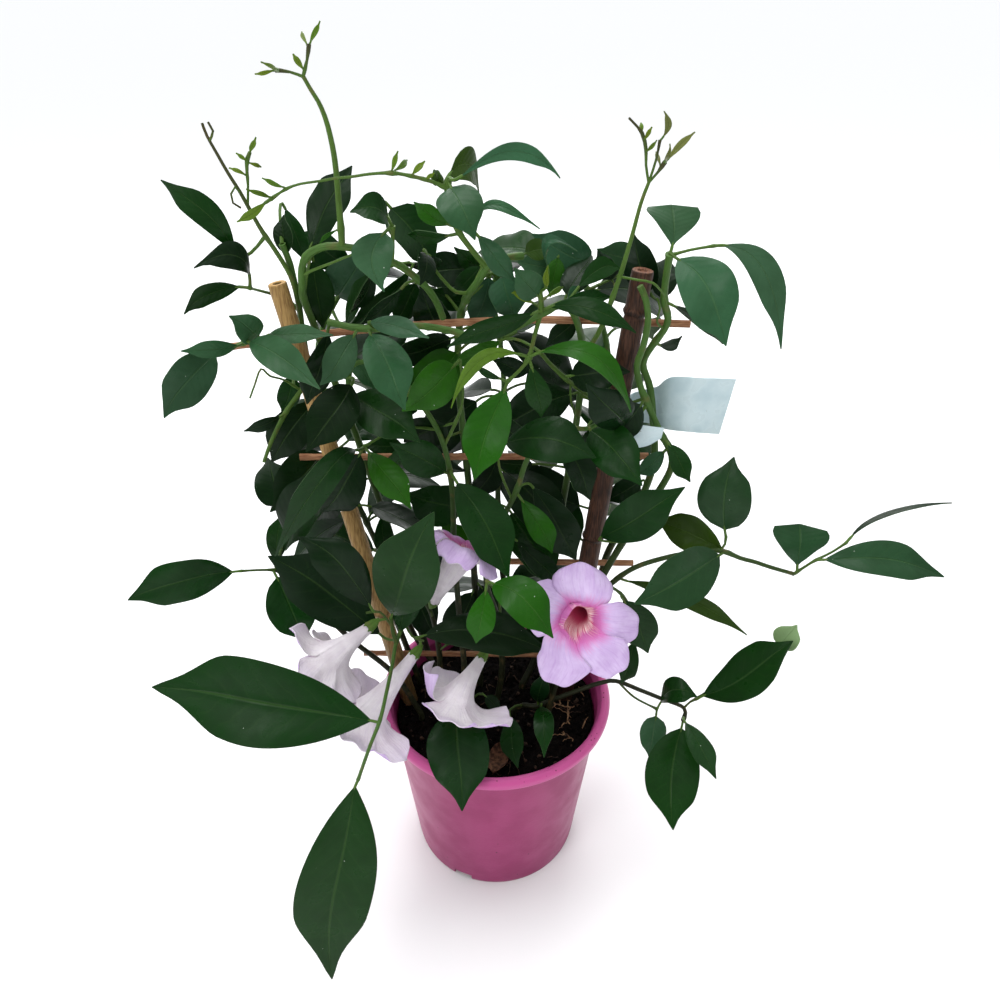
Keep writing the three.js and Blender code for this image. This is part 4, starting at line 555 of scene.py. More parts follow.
    [0.9, 0.8, [391, 626, 33], [380, 612, 34], [366, 613, 35]],
    [0.9, 0.8, [438, 650, 5], [456, 640, 14], [474, 640, 22], [484, 648, 26]]
  ], [
    ["mid", [391, 616, 35], [434, 512, 52], 67, 6, 4],
    ["mid", [358, 782, 98], [332, 979, 136], 76, 6, 5, [330, 878, 118]],
    ["mid", [377, 722, 87], [152, 687, 66], 86, 8, 5, [265, 700, 78]],
    ["dark", [374, 617, 37], [298, 537, 34], 44, 10, 4, [342, 571, 40]],
    ["dark", [382, 636, 29], [268, 556, 12], 58, 10, 4, [324, 590, 19]],
    ["dark", [412, 645, 38], [552, 654, 44], 47, 12, 4, [482, 634, 40]],
    ["mid", [399, 636, 33], [421, 560, 30], 30, 20, 3]
  ]],
  ["vine_left_spray", [
    [1.8, 1.2, [422, 718], [394, 674, 11], [352, 640, 10], [318, 608, 8], [292, 582, 6],
      [276, 569, 6]],
    [1.0, 0.8, [277, 570, 6], [283, 540, 9], [291, 508, 12]],
    [0.9, 0.8, [277, 570, 6], [260, 570, 11], [241, 571, 17]],
    [0.9, 0.8, [277, 570, 6], [272, 545, 2], [280, 515, -2]]
  ], [
    ["mid", [241, 571, 18], [128, 600, 44], 46, 10, 4, [183, 581, 34]],
    ["mid", [276, 574, 14], [306, 642, 33], 45, 8, 4],
    ["mid", [275, 566, 4], [284, 512, -1], 20, 20, 3],
    ["dark", [281, 514, -2], [268, 458, -10], 38, 10, 3],
    ["dark", [284, 530, -2], [312, 470, -4], 30, 20, 3],
    ["dark", [316, 600, 4], [336, 540, -2], 36, 20, 3]
  ]],
  ["vine_right_spray", [
    [1.9, 1.0, [546, 724], [558, 676, 20], [576, 630, 24], [600, 595, 25], [630, 570, 25],
      [668, 557, 26], [700, 552, 27], [722, 551, 28], [740, 558, 29], [755, 562, 30],
      [770, 567, 31], [794, 574, 33]],
    [0.9, 0.8, [794, 574, 33], [806, 566, 34], [816, 560, 35], [832, 552, 34], [846, 543, 33]],
    [0.9, 0.8, [720, 551, 28], [725, 544, 28], [726, 537, 28]],
    [1.0, 0.8, [610, 586, 25], [626, 600, 22], [636, 634, 16]]
  ], [
    ["soft", [727, 554, 32], [634, 604, 50], 55, 8, 4],
    ["soft", [726, 536, 29], [734, 457, 22], 52, 8, 3, [724, 496, 28]],
    ["olive", [730, 547, 27], [656, 519, 14], 36, 10, 3],
    ["olive", [612, 568, 17], [747, 635, 24], 16, 20, 4],
    ["soft", [796, 572, 34], [800, 524, 24], 54, 0, 2, None, "fan"],
    ["soft", [816, 561, 36], [944, 577, 46], 38, 10, 4, [881, 563, 44]],
    ["dark", [846, 543, 33], [952, 503, 40], 8, 45, 0, [886, 515, 36]],
    ["mid", [624, 584, 18], [648, 653, 28], 36, 10, 3],
    ["mid", [636, 636, 16], [621, 683, 24], 20, 10, 2]
  ]],
  ["vine_low_right", [
    [1.6, 1.1, [514, 714], [523, 705, 16], [536, 706, 18], [560, 697, 16], [582, 689, 14],
      [600, 683, 14], [616, 681, 15], [640, 690, 20], [660, 698, 25], [684, 708, 30],
      [683, 721, 34]],
    [0.9, 0.8, [618, 682, 15], [634, 697, 18], [657, 709, 24]],
    [0.9, 0.8, [684, 708, 30], [690, 702, 31], [697, 699, 32]],
    [0.9, 0.7, [692, 702, 31], [730, 678, 26], [764, 658, 26], [778, 651, 28]],
    [0.9, 0.8, [523, 705, 16], [515, 706, 20], [509, 711, 24]]
  ], [
    ["mid", [683, 722, 36], [673, 830, 80], 54, 6, 3, [674, 776, 60]],
    ["mid", [697, 699, 33], [793, 641, 40], 48, 8, 4, [746, 672, 39]],
    ["mid", [685, 722, 35], [716, 779, 58], 24, 12, 3],
    ["grey", [656, 711, 25], [649, 757, 42], 28, 8, 3],
    ["mid", [658, 708, 25], [697, 697, 38], 24, 20, 0, [675, 690, 32]],
    ["pale", [778, 651, 28], [797, 625, 24], 27, 0, 2],
    ["mid", [508, 713, 25], [518, 768, 60], 23, 8, 3],
    ["mid", [541, 706, 18], [544, 757, 54], 20, 8, 3],
    ["dark", [536, 703, 18], [546, 672, 14], 18, 10, 2]
  ]],
  ["vine_low_centre", [
    [1.5, 1.0, [474, 722], [470, 704, 24], [463, 698, 33], [457, 704, 40]],
    [0.9, 0.8, [470, 702, 25], [478, 694, 26], [483, 694, 27]]
  ], [
    ["mid", [456, 706, 41], [462, 811, 86], 62, 4, 3],
    ["dark", [484, 694, 28], [500, 712, 36], 13, 10, 2]
  ]],
  ["vine_back_left", [
    [1.9, 1.2, [436, 670], [412, 630, -30], [384, 560, -30], [352, 490, -30], [326, 420, -30],
      [318, 350, -30], [336, 300, -28], [360, 276, -26]]], [
    ["grey", [332, 306, -22], [364, 248, -20], 48, 0, 2],
    ["mid", [346, 326, -20], [374, 270, -22], 17, 20, 2],
    ["dark", [338, 392, -22], [302, 456, -18], 50, 10, 3],
    ["dark", [324, 452, -24], [270, 512, -10], 46, 8, 3],
    ["dark", [350, 470, -22], [318, 520, -12], 40, -10, 3],
    ["dark", [312, 400, -20], [272, 462, -6], 40, 0, 3],
    ["mid", [352, 262, -24], [300, 232, -20], 34, 0, 2],
    ["mid", [411, 269, -24], [347, 329, -20], 20, 30, 2],
  ]],
  ["vine_back_middle", [
    [1.9, 1.2, [502, 668], [508, 620, -30], [500, 550, -31], [498, 470, -31], [504, 400, -31],
      [500, 340, -30], [492, 290, -28], [510, 262, -26]]], [
    ["dark", [468, 268, -18], [414, 276, -14], 36, 0, 3],
    ["dark", [440, 330, -20], [420, 286, -12], 36, 10, 2],
    ["dark", [478, 400, -18], [420, 452, -6], 46, 0, 3],
    ["bright", [458, 352, -10], [402, 410, -2], 50, 0, 3],
    ["bright", [470, 560, -16], [440, 520, -12], 30, 0, 2],
    ["grey", [502, 276, -18], [514, 320, -14], 42, 12, 2],
    ["dark", [530, 371, -18], [492, 359, -14], 20, 12, 2],
  ]],
  ["vine_back_right", [
    [1.9, 1.2, [556, 672], [576, 620, -30], [592, 550, -30], [604, 480, -30], [612, 410, -30],
      [606, 340, -30], [588, 290, -28], [566, 270, -26]]], [
    ["grey", [592, 262, -24], [532, 234, -20], 39, 12, 2],
    ["grey", [635, 259, -24], [597, 249, -20], 29, 12, 2],
    ["bright", [558, 257, -18], [550, 297, -14], 20, 12, 2],
    ["grey", [557, 270, -24], [517, 262, -20], 26, -12, 2],
  ]],
]

# Leaves set by rule: shoot, seed, count, and the middle and half of their span of directions
RULE_LEAVES = [
    ["vine_back_left", 11, 20, 130, 170],
    ["vine_back_middle", 23, 14, 90, 150],
    ["vine_back_right", 37, 14, 70, 150],
    ["vine_left", 53, 8, 240, 130],
    ["vine_loop", 41, 7, 230, 150],
    ["vine_mid_left", 61, 3, 230, 120],
    ["vine_centre_top", 43, 4, 270, 160],
    ["vine_across", 47, 4, 290, 150],
    ["vine_right_top", 59, 3, 340, 120],
]

# Flowers: name, its shoot, foot of the calyx, mouth, way it faces, lobe length, how far the
# lobes bend back and how far they are turned about the tube, in degrees
FLOWERS = [
    ["flower_front", "vine_right_spray", [592, 600, 26], [580, 622, 54], [-0.10, -0.86, 0.50],
     23, 8, 27],
    ["flower_left", "vine_low_left", [378, 620, 32], [334, 656, 44], [-0.69, -0.16, -0.71],
     19, 2, 50],
    ["flower_low_left", "vine_low_left", [421, 646, 34], [370, 712, 62], [-0.60, -0.17, -0.78],
     22, 2, 54],
    ["flower_low_middle", "vine_low_left", [487, 649, 27], [458, 697, 50], [-0.41, -0.33, -0.85],
     23, 2, 70],
    ["flower_upper", "vine_low_left", [431, 607, 14], [463, 548, 29], [0.45, 0.42, 0.79],
     18, 26, 0],
]

# Shapes: points in millimetres, faces, and for each point two marks and a tint that materials
# read
SHARP_ANGLE = math.radians(50)
PLAIN = (1, 1, 1)


class Shape:
    def __init__(self):
        self.points, self.marks, self.tints = [], [], []
        self.faces, self.kinds = [], []
        self.count = 0

    def add(self, points, faces, kinds=0, marks=None, tint=PLAIN):
        """Adds points and faces. kinds is one place in the piece's looks, or one for each face."""
        points = np.asarray(points, float).reshape(-1, 3)
        marks = np.zeros((len(points), 2)) if marks is None else np.reshape(marks, (-1, 2))
        self.points.append(points)
        self.marks.append(marks)
        self.tints.append(np.ones((len(points), 3)) * np.asarray(tint, float))
        self.faces.extend(tuple(i + self.count for i in face) for face in faces)
        self.kinds.extend([kinds] * len(faces) if isinstance(kinds, int) else kinds)
        self.count += len(points)

    def mesh(self, name):
        mesh = bpy.data.meshes.new(name)
        mesh.from_pydata((np.concatenate(self.points) * MM).tolist(), [], self.faces)
        return mesh


def make_piece(name, shape, looks, node):
    """A piece that rides on the part and stands in for one node of its frame."""
    mesh = shape.mesh(name)
    mesh.polygons.foreach_set("material_index", shape.kinds)
    corners = np.zeros(len(mesh.loops), dtype=np.int32)
    mesh.loops.foreach_get("vertex_index", corners)
    marks = np.concatenate(shape.marks)[corners]
    mesh.uv_layers.new(name="marks").data.foreach_set("uv", marks.ravel())
    tints = np.concatenate(shape.tints)
    rows = np.concatenate([tints, np.ones((len(tints), 1))], axis=1)
    mesh.attributes.new("tint", "FLOAT_COLOR", "POINT").data.foreach_set("color", rows.ravel())
    for look in looks:
        mesh.materials.append(look)
    mesh.shade_smooth()
    mesh.set_sharp_from_angle(angle=SHARP_ANGLE)
    piece = add_object(name, mesh)
    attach(piece, "root")
    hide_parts(node)
    return piece


def grid_faces(rows, columns, closed=False):
    faces = []
    across = columns if closed else columns - 1
    for i in range(rows - 1):
        for j in range(across):
            a, b = i * columns + j, i * columns + (j + 1) % columns
            faces.append((a, b, b + columns, a + columns))
    return faces


def square_to(along, start):
    """Two directions square to a line and to each other, the first as near start as can be."""
    u = start - along * float(start @ along)
    if size(u) < 0.2:
        u = X_AXIS - along * float(X_AXIS @ along)
    u = unit(u)
    return u, np.cross(along, u)


def ring_of(centre, u, w, radius, sides, flat=(1, 1)):
    turns = np.arange(sides) * (2 * math.pi / sides)
    return centre + radius * (
        np.outer(np.cos(turns) * flat[0], u) + np.outer(np.sin(turns) * flat[1], w))


def level_ring(centre, radius, sides):
    return ring_of(centre, X_AXIS, Y_AXIS, radius, sides)


def add_rings(shape, rings, kind=0, marks_along=None, tint=PLAIN):
    """A closed skin over rings of points, with flat ends."""
    rings = np.array(rings)
    rows, sides = rings.shape[:2]
    faces = grid_faces(rows, sides, closed=True)
    last = (rows - 1) * sides
    faces.append(tuple(reversed(range(sides))))
    faces.append(tuple(last + k for k in range(sides)))
    around = np.tile(np.arange(sides) / sides, rows)
    along = np.repeat(np.zeros(rows) if marks_along is None else marks_along, sides)
    if np.ndim(tint) == 2:
        tint = np.repeat(tint, sides, axis=0)
    shape.add(rings, faces, kind, np.stack([around, along], axis=1), tint)


def add_tube(shape, line, radii, sides, kind=0, tint=PLAIN, flat=(1, 1)):
    rings = []
    sideways = UPWARD
    run = 0.0
    marks_along = []
    for i, p in enumerate(line):
        along = unit(line[min(i + 1, len(line) - 1)] - line[max(i - 1, 0)])
        u, w = square_to(along, sideways)
        rings.append(ring_of(p, u, w, radii[i], sides, flat))
        sideways = u
        run += size(p - line[i - 1]) if i else 0.0
        marks_along.append(run)
    add_rings(shape, rings, kind, marks_along, tint)


def add_lathe(shape, origin, axis, profile, sides, kind=0, tint=PLAIN):
    u, w = square_to(axis, UPWARD)
    rings = [ring_of(origin + axis * height, u, w, radius, sides) for height, radius in profile]
    add_rings(shape, rings, kind, [height for height, _ in profile], tint)


def sheet_rim(rows, columns, faces):
    """The points round a grid's border, one after another, against the turn of its faces."""
    border = (
        [(0, j) for j in range(columns - 1)] + [(i, columns - 1) for i in range(rows - 1)]
        + [(rows - 1, j) for j in range(columns - 1, 0, -1)]
        + [(i, 0) for i in range(rows - 1, 0, -1)])
    loop = [i * columns + j for i, j in border]
    edges = {(face[k], face[(k + 1) % 4]) for face in faces for k in range(4)}
    return loop[::-1] if (loop[0], loop[1]) in edges else loop


def add_plate(shape, sheet, upper, thickness, kinds, marks=None, tint=PLAIN, ridge=None):
    """A thin closed plate over a grid of points. upper says which side is its top. ridge is how
    far its underside stands out at each point."""
    rows, columns = sheet.shape[:2]
    normal = np.cross(np.gradient(sheet, axis=1), np.gradient(sheet, axis=0))
    normal /= np.maximum(np.linalg.norm(normal, axis=2, keepdims=True), 1e-9)
    facing = np.sign((normal * upper).sum(axis=2, keepdims=True))
    normal *= np.where(facing == 0, 1, facing)
    top = (sheet + normal * (thickness / 2)).reshape(-1, 3)
    under = sheet - normal * (thickness / 2)
    if ridge is not None:
        under = under - normal * ridge[..., None]
    faces = grid_faces(rows, columns)
    middle = faces[len(faces) // 2]
    a, b, c = top[middle[0]], top[middle[1]], top[middle[2]]
    if float(np.cross(b - a, c - a) @ normal.reshape(-1, 3)[middle[0]]) < 0:
        faces = [face[::-1] for face in faces]
    below = rows * columns
    under_faces = [tuple(i + below for i in face[::-1]) for face in faces]
    rim = sheet_rim(rows, columns, faces)
    rim_faces = [(p, q, below + q, below + p) for p, q in zip(rim, rim[1:] + rim[:1])]
    face_kinds = [kinds[0]] * len(faces) + [kinds[1]] * (len(under_faces) + len(rim_faces))
    marks = np.zeros((below, 2)) if marks is None else np.reshape(marks, (-1, 2))
    shape.add(np.concatenate([top, under.reshape(-1, 3)]), faces + under_faces + rim_faces,
              face_kinds, np.concatenate([marks] * 2), tint)


# Colours and materials
def colour(red, green, blue):
    """A colour as seen on a screen, each part from 0 to 255, as a shader takes it."""
    parts = [c / 255 for c in (red, green, blue)]
    return tuple(c / 12.92 if c <= 0.04045 else ((c + 0.055) / 1.055) ** 2.4 for c in parts)


class Nodes:
    """A tree of nodes, with one short call for each kind of node."""

    def __init__(self, tree):
        self.tree = tree

    def set(self, socket, value):
        if isinstance(value, bpy.types.NodeSocket):
            self.tree.links.new(value, socket)
        elif isinstance(value, tuple) and len(value) == 3 and socket.type == "RGBA":
            socket.default_value = (*value, 1.0)
        else:
            socket.default_value = value

    def node(self, kind, *values, **settings):
        """A node with its settings, and its first sockets linked or set."""
        node = self.tree.nodes.new("ShaderNode" + kind)
        for key, setting in settings.items():
            setattr(node, key, setting)
        for socket, value in zip(node.inputs, values):
            self.set(socket, value)
        return node

    def maths(self, operation, a, b=0.0, c=0.0):
        return self.node("Math", a, b, c, operation=operation).outputs[0]

    def plus(self, a, b):
        return self.maths("ADD", a, b)

    def times(self, a, b):
        return self.maths("MULTIPLY", a, b)

    def scaled(self, a, factor, more):
        return self.maths("MULTIPLY_ADD", a, factor, more)

    def from_middle(self, u):
        """How far a mark from 0 to 1 is from its middle, as a share of the way to its end."""
        return self.maths("ABSOLUTE", self.scaled(u, 2.0, -1.0))

    def ease(self, value, low, high, start=0.0, end=1.0, way="SMOOTHSTEP"):
        node = self.node("MapRange", value, low, high, start, end, interpolation_type=way)
        return node.outputs[0]

    def blend(self, share, a, b, way="MIX"):
        node = self.node("Mix", data_type="RGBA", blend_type=way)
        for index, value in ((0, share), (6, a), (7, b)):
            self.set(node.inputs[index], value)
        return node.outputs[2]

    def toned(self, base, value, low, high, tone, share=1.0):
        """A base with a share of another colour where a value is high."""
        return self.blend(self.ease(value, low, high, 0.0, share), base, tone)

    def multiplied(self, base, tone):
        return self.blend(1.0, base, tone, "MULTIPLY")

    def noise(self, scale, at, detail=2.0):
        node = self.node("TexNoise", at)
        node.inputs["Scale"].default_value = scale
        node.inputs["Detail"].default_value = detail
        return node.outputs["Fac"]

    def streaks(self, across, along, fine, long, detail=3.0):
        """Noise drawn out along a surface, so many times finer across it and along it."""
        place = self.vector(self.times(across, fine), self.times(along, long))
        return self.noise(1.0, place, detail)

    def dots(self, scale, at, reach, kept):
        """1 in small dots, one in a share of cells, and 0 elsewhere."""
        node = self.node("TexVoronoi", at)
        node.inputs["Scale"].default_value = scale
        red, green = self.node("SeparateColor", node.outputs["Color"]).outputs[:2]
        inside = self.maths("LESS_THAN", node.outputs["Distance"],
                            self.scaled(green, reach, reach * 0.3))
        return self.times(inside, self.maths("LESS_THAN", red, kept))

    def place(self, stretch=(1, 1, 1)):
        """Where a point is in the object, in millimetres, times a stretch for each axis."""
        source = self.node("TexCoord").outputs["Object"]
        scale = [part / MM for part in stretch]
        return self.node("VectorMath", source, scale, operation="MULTIPLY").outputs[0]

    def parts(self, vector):
        return self.node("SeparateXYZ", vector).outputs

    def marks(self):
        across, along, _ = self.parts(self.node("UVMap", uv_map="marks").outputs[0])
        return across, along

    def vector(self, x, y, z=0.0):
        return self.node("CombineXYZ", x, y, z).outputs[0]

    def tint(self):
        return self.node("Attribute", attribute_name="tint").outputs["Color"]


class Look(Nodes):
    """A material of nodes round one shader."""

    def __init__(self, name, roughness, specular):
        self.material = bpy.data.materials.new(name)
        self.material.use_nodes = True
        super().__init__(self.material.node_tree)
        self.shader = self.tree.nodes["Principled BSDF"]
        self.shader.inputs["Roughness"].default_value = roughness
        self.shader.inputs["Specular IOR Level"].default_value = specular

    def finish(self, base, height=None, depth=0.3, roughness=None):
        """depth is how deep a height of 1 is, in millimetres."""
        self.set(self.shader.inputs["Base Color"], base)
        if roughness is not None:
            self.set(self.shader.inputs["Roughness"], roughness)
        if height is not None:
            node = self.node("Bump")
            node.inputs["Distance"].default_value = depth * MM
            self.set(node.inputs["Height"], height)
            self.set(self.shader.inputs["Normal"], node.outputs[0])
        return self.material


# How strongly each side of a blade shows its midrib and veins, and how high its midrib stands
LEAF_SIDES = {
    "leaf_top": {"roughness": 0.34, "specular": 0.12, "midrib": 0.24, "vein": 0.05, "rib": -0.5},
    "leaf_under": {"roughness": 0.62, "specular": 0.1, "midrib": 0.6, "vein": 0.25, "rib": 0.6},
}
VEIN_PAIRS = 9.0
VEIN_SLANT = -1.7
VEIN_WANDER = 0.7


def leaf_look(name):
    form = LEAF_SIDES[name]
    look = Look(name, form["roughness"], form["specular"])
    place = look.place()
    u, along = look.marks()
    out = look.from_middle(u)
    midrib_here = look.ease(out, 0.012, 0.06, 1.0, 0.0)
    wander = look.times(look.noise(0.12, place), VEIN_WANDER)
    slanted = look.scaled(along, VEIN_PAIRS, look.times(out, VEIN_SLANT))
    phase = look.plus(slanted, wander)
    to_vein = look.maths("ABSOLUTE", look.maths("SUBTRACT", look.maths("FRACT", phase), 0.5))
    vein = look.times(look.ease(to_vein, 0.40, 0.5), look.ease(out, 0.45, 0.95, 1.0, 0.0))
    cushion = look.ease(to_vein, 0.0, 0.5, 1.0, 0.0)
    mottle = look.noise(0.09, place, 3.0)
    leaf = look.tint()
    if name == "leaf_top":
        base, light = leaf, look.blend(0.35, leaf, colour(104, 140, 70))
    else:
        base, light = look.blend(0.35, leaf, colour(84, 112, 70)), colour(112, 136, 88)
    base = look.toned(base, mottle, 0.35, 0.7, look.multiplied(base, (0.55, 0.6, 0.5)), 0.45)
    ribs = look.plus(look.times(midrib_here, form["midrib"]), look.times(vein, form["vein"]))
    base = look.blend(ribs, base, light)
    rough = None
    if name == "leaf_top":
        base = look.blend(look.dots(0.22, place, 0.045, 0.2), base, colour(170, 182, 168))
        rough = look.ease(mottle, 0.3, 0.7, 0.26, 0.40)
    grain = look.times(look.noise(1.4, place), 0.08)
    height = look.plus(look.times(cushion, 0.10), look.scaled(midrib_here, form["rib"], grain))
    return look.finish(base, height, 0.4, rough)


def stem_look():
    look = Look("stem", 0.5, 0.18)
    u, run = look.marks()
    streaks = look.streaks(u, run, 9.0, 0.12)
    patches = look.noise(0.14, look.place(), 3.0)
    base = look.tint()
    base = look.toned(base, streaks, 0.45, 0.72, look.multiplied(base, (0.45, 0.42, 0.35)), 0.5)
    base = look.toned(base, patches, 0.55, 0.75, colour(112, 92, 58), 0.4)
    return look.finish(base, streaks, 0.25)


# Along a petal, marks run from 0 at the tube's foot through 0.5 at its mouth to 1 at a lobe's end
def petal_inside(look, u, along, clouds, veins):
    base = look.toned(colour(200, 172, 218), clouds, 0.3, 0.7, colour(216, 194, 232))
    base = look.toned(base, veins, 0.48, 0.66, colour(180, 138, 202), 0.3)
    reach = look.scaled(veins, 0.18, look.scaled(look.from_middle(u), -0.05, along))
    base = look.blend(look.ease(reach, 0.56, 0.76, 0.85, 0.0), base, colour(208, 88, 168))
    stripes = look.streaks(u, along, 46.0, 3.0, 2.0)
    funnel = look.toned(colour(254, 238, 230), stripes, 0.45, 0.58, colour(214, 92, 128))
    deep = look.ease(along, 0.22, 0.40, 1.0, 0.0)
    funnel = look.blend(deep, funnel, colour(226, 96, 138))
    return look.blend(look.ease(reach, 0.50, 0.60, 1.0, 0.0), base, funnel)


def petal_outside(look, u, along, clouds, veins):
    base = look.toned(colour(222, 212, 220), clouds, 0.3, 0.7, colour(236, 229, 234))
    base = look.toned(base, veins, 0.5, 0.68, colour(196, 178, 206), 0.25)
    return look.toned(base, along, 0.62, 1.0, colour(206, 190, 218), 0.4)


def petal_look(name, side):
    look = Look(name, 0.6, 0.15)
    place = look.place()
    u, along = look.marks()
    veins = look.streaks(u, along, 26.0, 4.0)
    base = side(look, u, along, look.noise(0.11, place, 3.0), veins)
    base = look.blend(look.dots(0.30, place, 0.06, 0.10), base, colour(74, 62, 72))
    crinkle = look.plus(look.times(veins, 0.8), look.times(look.noise(0.5, place), 0.5))
    return look.finish(base, crinkle, 0.5)


def pot_look():
    look = Look("pot_plastic", 0.42, 0.22)
    place = look.place()
    scuffs = look.noise(0.05, place, 4.0)
    fine = look.noise(0.6, place)
    height = look.parts(place)[2]
    wall = look.toned(colour(154, 52, 104), scuffs, 0.35, 0.7, colour(144, 48, 96))
    # painted light: the lip is painted lighter than the wall, as where light from above falls on it
    base = look.toned(wall, height, LIP_FOOT - 1, LIP_FOOT + 1, colour(192, 82, 142))
    specks = look.times(look.dots(0.16, place, 0.07, 0.22), look.ease(fine, 0.35, 0.5))
    base = look.blend(specks, base, colour(70, 28, 44))
    near_rim = look.ease(height, POT_HEIGHT - 2.6, POT_HEIGHT - 0.8)
    soiled = look.times(near_rim, look.dots(0.55, place, 0.2, 0.4))
    base = look.blend(soiled, base, colour(60, 34, 34))
    return look.finish(base, fine, 0.06, look.ease(scuffs, 0.3, 0.7, 0.3, 0.45))


def soil_look():
    look = Look("potting_soil", 0.95, 0.06)
    place = look.place()
    lumps = look.noise(0.35, place, 5.0)
    base = look.toned(colour(4, 3, 3), lumps, 0.35, 0.65, colour(17, 12, 10))
    base = look.blend(look.dots(0.3, place, 0.16, 0.06), base, colour(64, 50, 38))
    return look.finish(base, look.noise(0.9, place, 4.0), 1.2)


def litter_look(name, light, shade):
    look = Look(name, 0.85, 0.2)
    patches = look.noise(0.5, look.place(), 4.0)
    return look.finish(look.toned(light, patches, 0.35, 0.65, shade), patches, 0.4)


def cane_look(name, skin, shade):
    look = Look(name, 0.5, 0.2)
    streaks = look.noise(1.6, look.place((1, 1, 0.08)), 4.0)
    patches = look.noise(0.06, look.place(), 3.0)
    base = look.toned(skin, streaks, 0.35, 0.68, shade)
    base = look.toned(base, patches, 0.5, 0.75, shade, 0.55)
    return look.finish(look.multiplied(base, look.tint()), streaks, 0.3)


def split_cane_look():
    look = Look("cane_split", 0.6, 0.15)
    streaks = look.noise(2.4, look.place((0.05, 1, 1)), 4.0)
    patches = look.noise(0.05, look.place())
    base = look.toned(colour(178, 132, 98), streaks, 0.35, 0.66, colour(126, 84, 58))
    base = look.toned(base, patches, 0.5, 0.7, colour(118, 72, 50), 0.5)
    return look.finish(base, streaks, 0.35)


def label_look():
    look = Look("label_plastic", 0.3, 0.5)
    place = look.place()
    smears = look.noise(0.1, place, 3.0)
    base = look.toned(colour(198, 216, 220), smears, 0.35, 0.7, colour(180, 202, 208))
    base = look.blend(look.dots(0.3, place, 0.08, 0.12), base, colour(120, 118, 110))
    return look.finish(base, smears, 0.1, look.ease(smears, 0.3, 0.7, 0.24, 0.4))


# Leaves. Their colours are by tone, as the shader takes them. Three tones are painted light: the
# grey tone is a painted sheen of the sky on leaves that face up, bright is painted light shining
# through a leaf, and dark is painted shade on leaves that face down or lie deep in the bush
TONES = {
    "grey": (0.028, 0.084, 0.036),
    "soft": (0.014, 0.050, 0.016),
    "mid": (0.005, 0.033, 0.004),
    "dark": (0.003, 0.016, 0.003),
    "bright": (0.015, 0.085, 0.003),
    "olive": (0.026, 0.058, 0.004),
    "new": (0.110, 0.190, 0.016),
    "pale": (0.190, 0.290, 0.120),
    "bronze": (0.170, 0.165, 0.045),
}
# Leaves set by rule mostly take the dark tone, which is painted shade
RULE_TONES = ["mid", "dark", "dark", "dark"]
TWIG = np.array(colour(74, 104, 40))
LEAF_TOP, LEAF_UNDER, STEM = 0, 1, 2
shoot_looks = [leaf_look("leaf_top"), leaf_look("leaf_under"), stem_look()]
# The two powers of the width of each outline: near the base, and near the tip
OUTLINES = {"ovate": (0.62, 0.80), "round": (0.6, 0.62), "fan": (1.3, 0.36)}
LEAST_HALF = 0.25
LEAF_THICKNESS = 0.45
LEAF_FOLD = 0.216
RIDGE = 0.45
SMALL_LEAF = 16
STALK_RADIUS = 0.75
SMALL_STALK_RADIUS = 0.45


def leaf_tint(tone):
    """A leaf's own shade of its tone. A leaf set by rule draws its tone as well."""
    if tone == "rule":
        tone = dice.choice(RULE_TONES)
    tint = np.array(TONES[tone]) * dice.uniform(0.85, 1.15)
    return tint * np.array([dice.uniform(0.85, 1.2), 1, dice.uniform(0.85, 1.15)])


def leaf_form(length):
    """How a leaf departs from a flat blade. Its edges wave and curl down, and bow, sag and hook
    draw its midrib aside, down and into an S."""
    return {
        "waves": dice.uniform(1.2, 2.4),
        "phases": (dice.uniform(0, 6), dice.uniform(0, 6)),
        "wave_height": dice.uniform(0.03, 0.10),
        "curl": dice.uniform(0.0, 0.22),
        "bow": dice.uniform(-0.035, 0.035) * length,
        "sag": dice.uniform(-0.01, 0.05) * length,
        "hook": dice.uniform(-0.03, 0.03) * length,
        "twist": math.radians(dice.uniform(-22, 22)),
    }


def half_share(outline, t):
    a, b = outline
    widest = a / (a + b)
    return (t / widest) ** a * ((1 - t) / (1 - widest)) ** b


def leaf_half(blade, slimness, s):
    """Half the width of a leaf at a share of its length. The ovate ones end in a drawn-out
    point."""
    ovate = blade["kind"] == "ovate"
    outline = (0.98 - 0.40 * slimness, 0.86) if ovate else OUTLINES[blade["kind"]]
    half = blade["half"] * half_share(outline, s)
    if ovate:
        half *= 1 - 0.48 * ease(s, 0.66, 0.93)
    return max(half, LEAST_HALF)


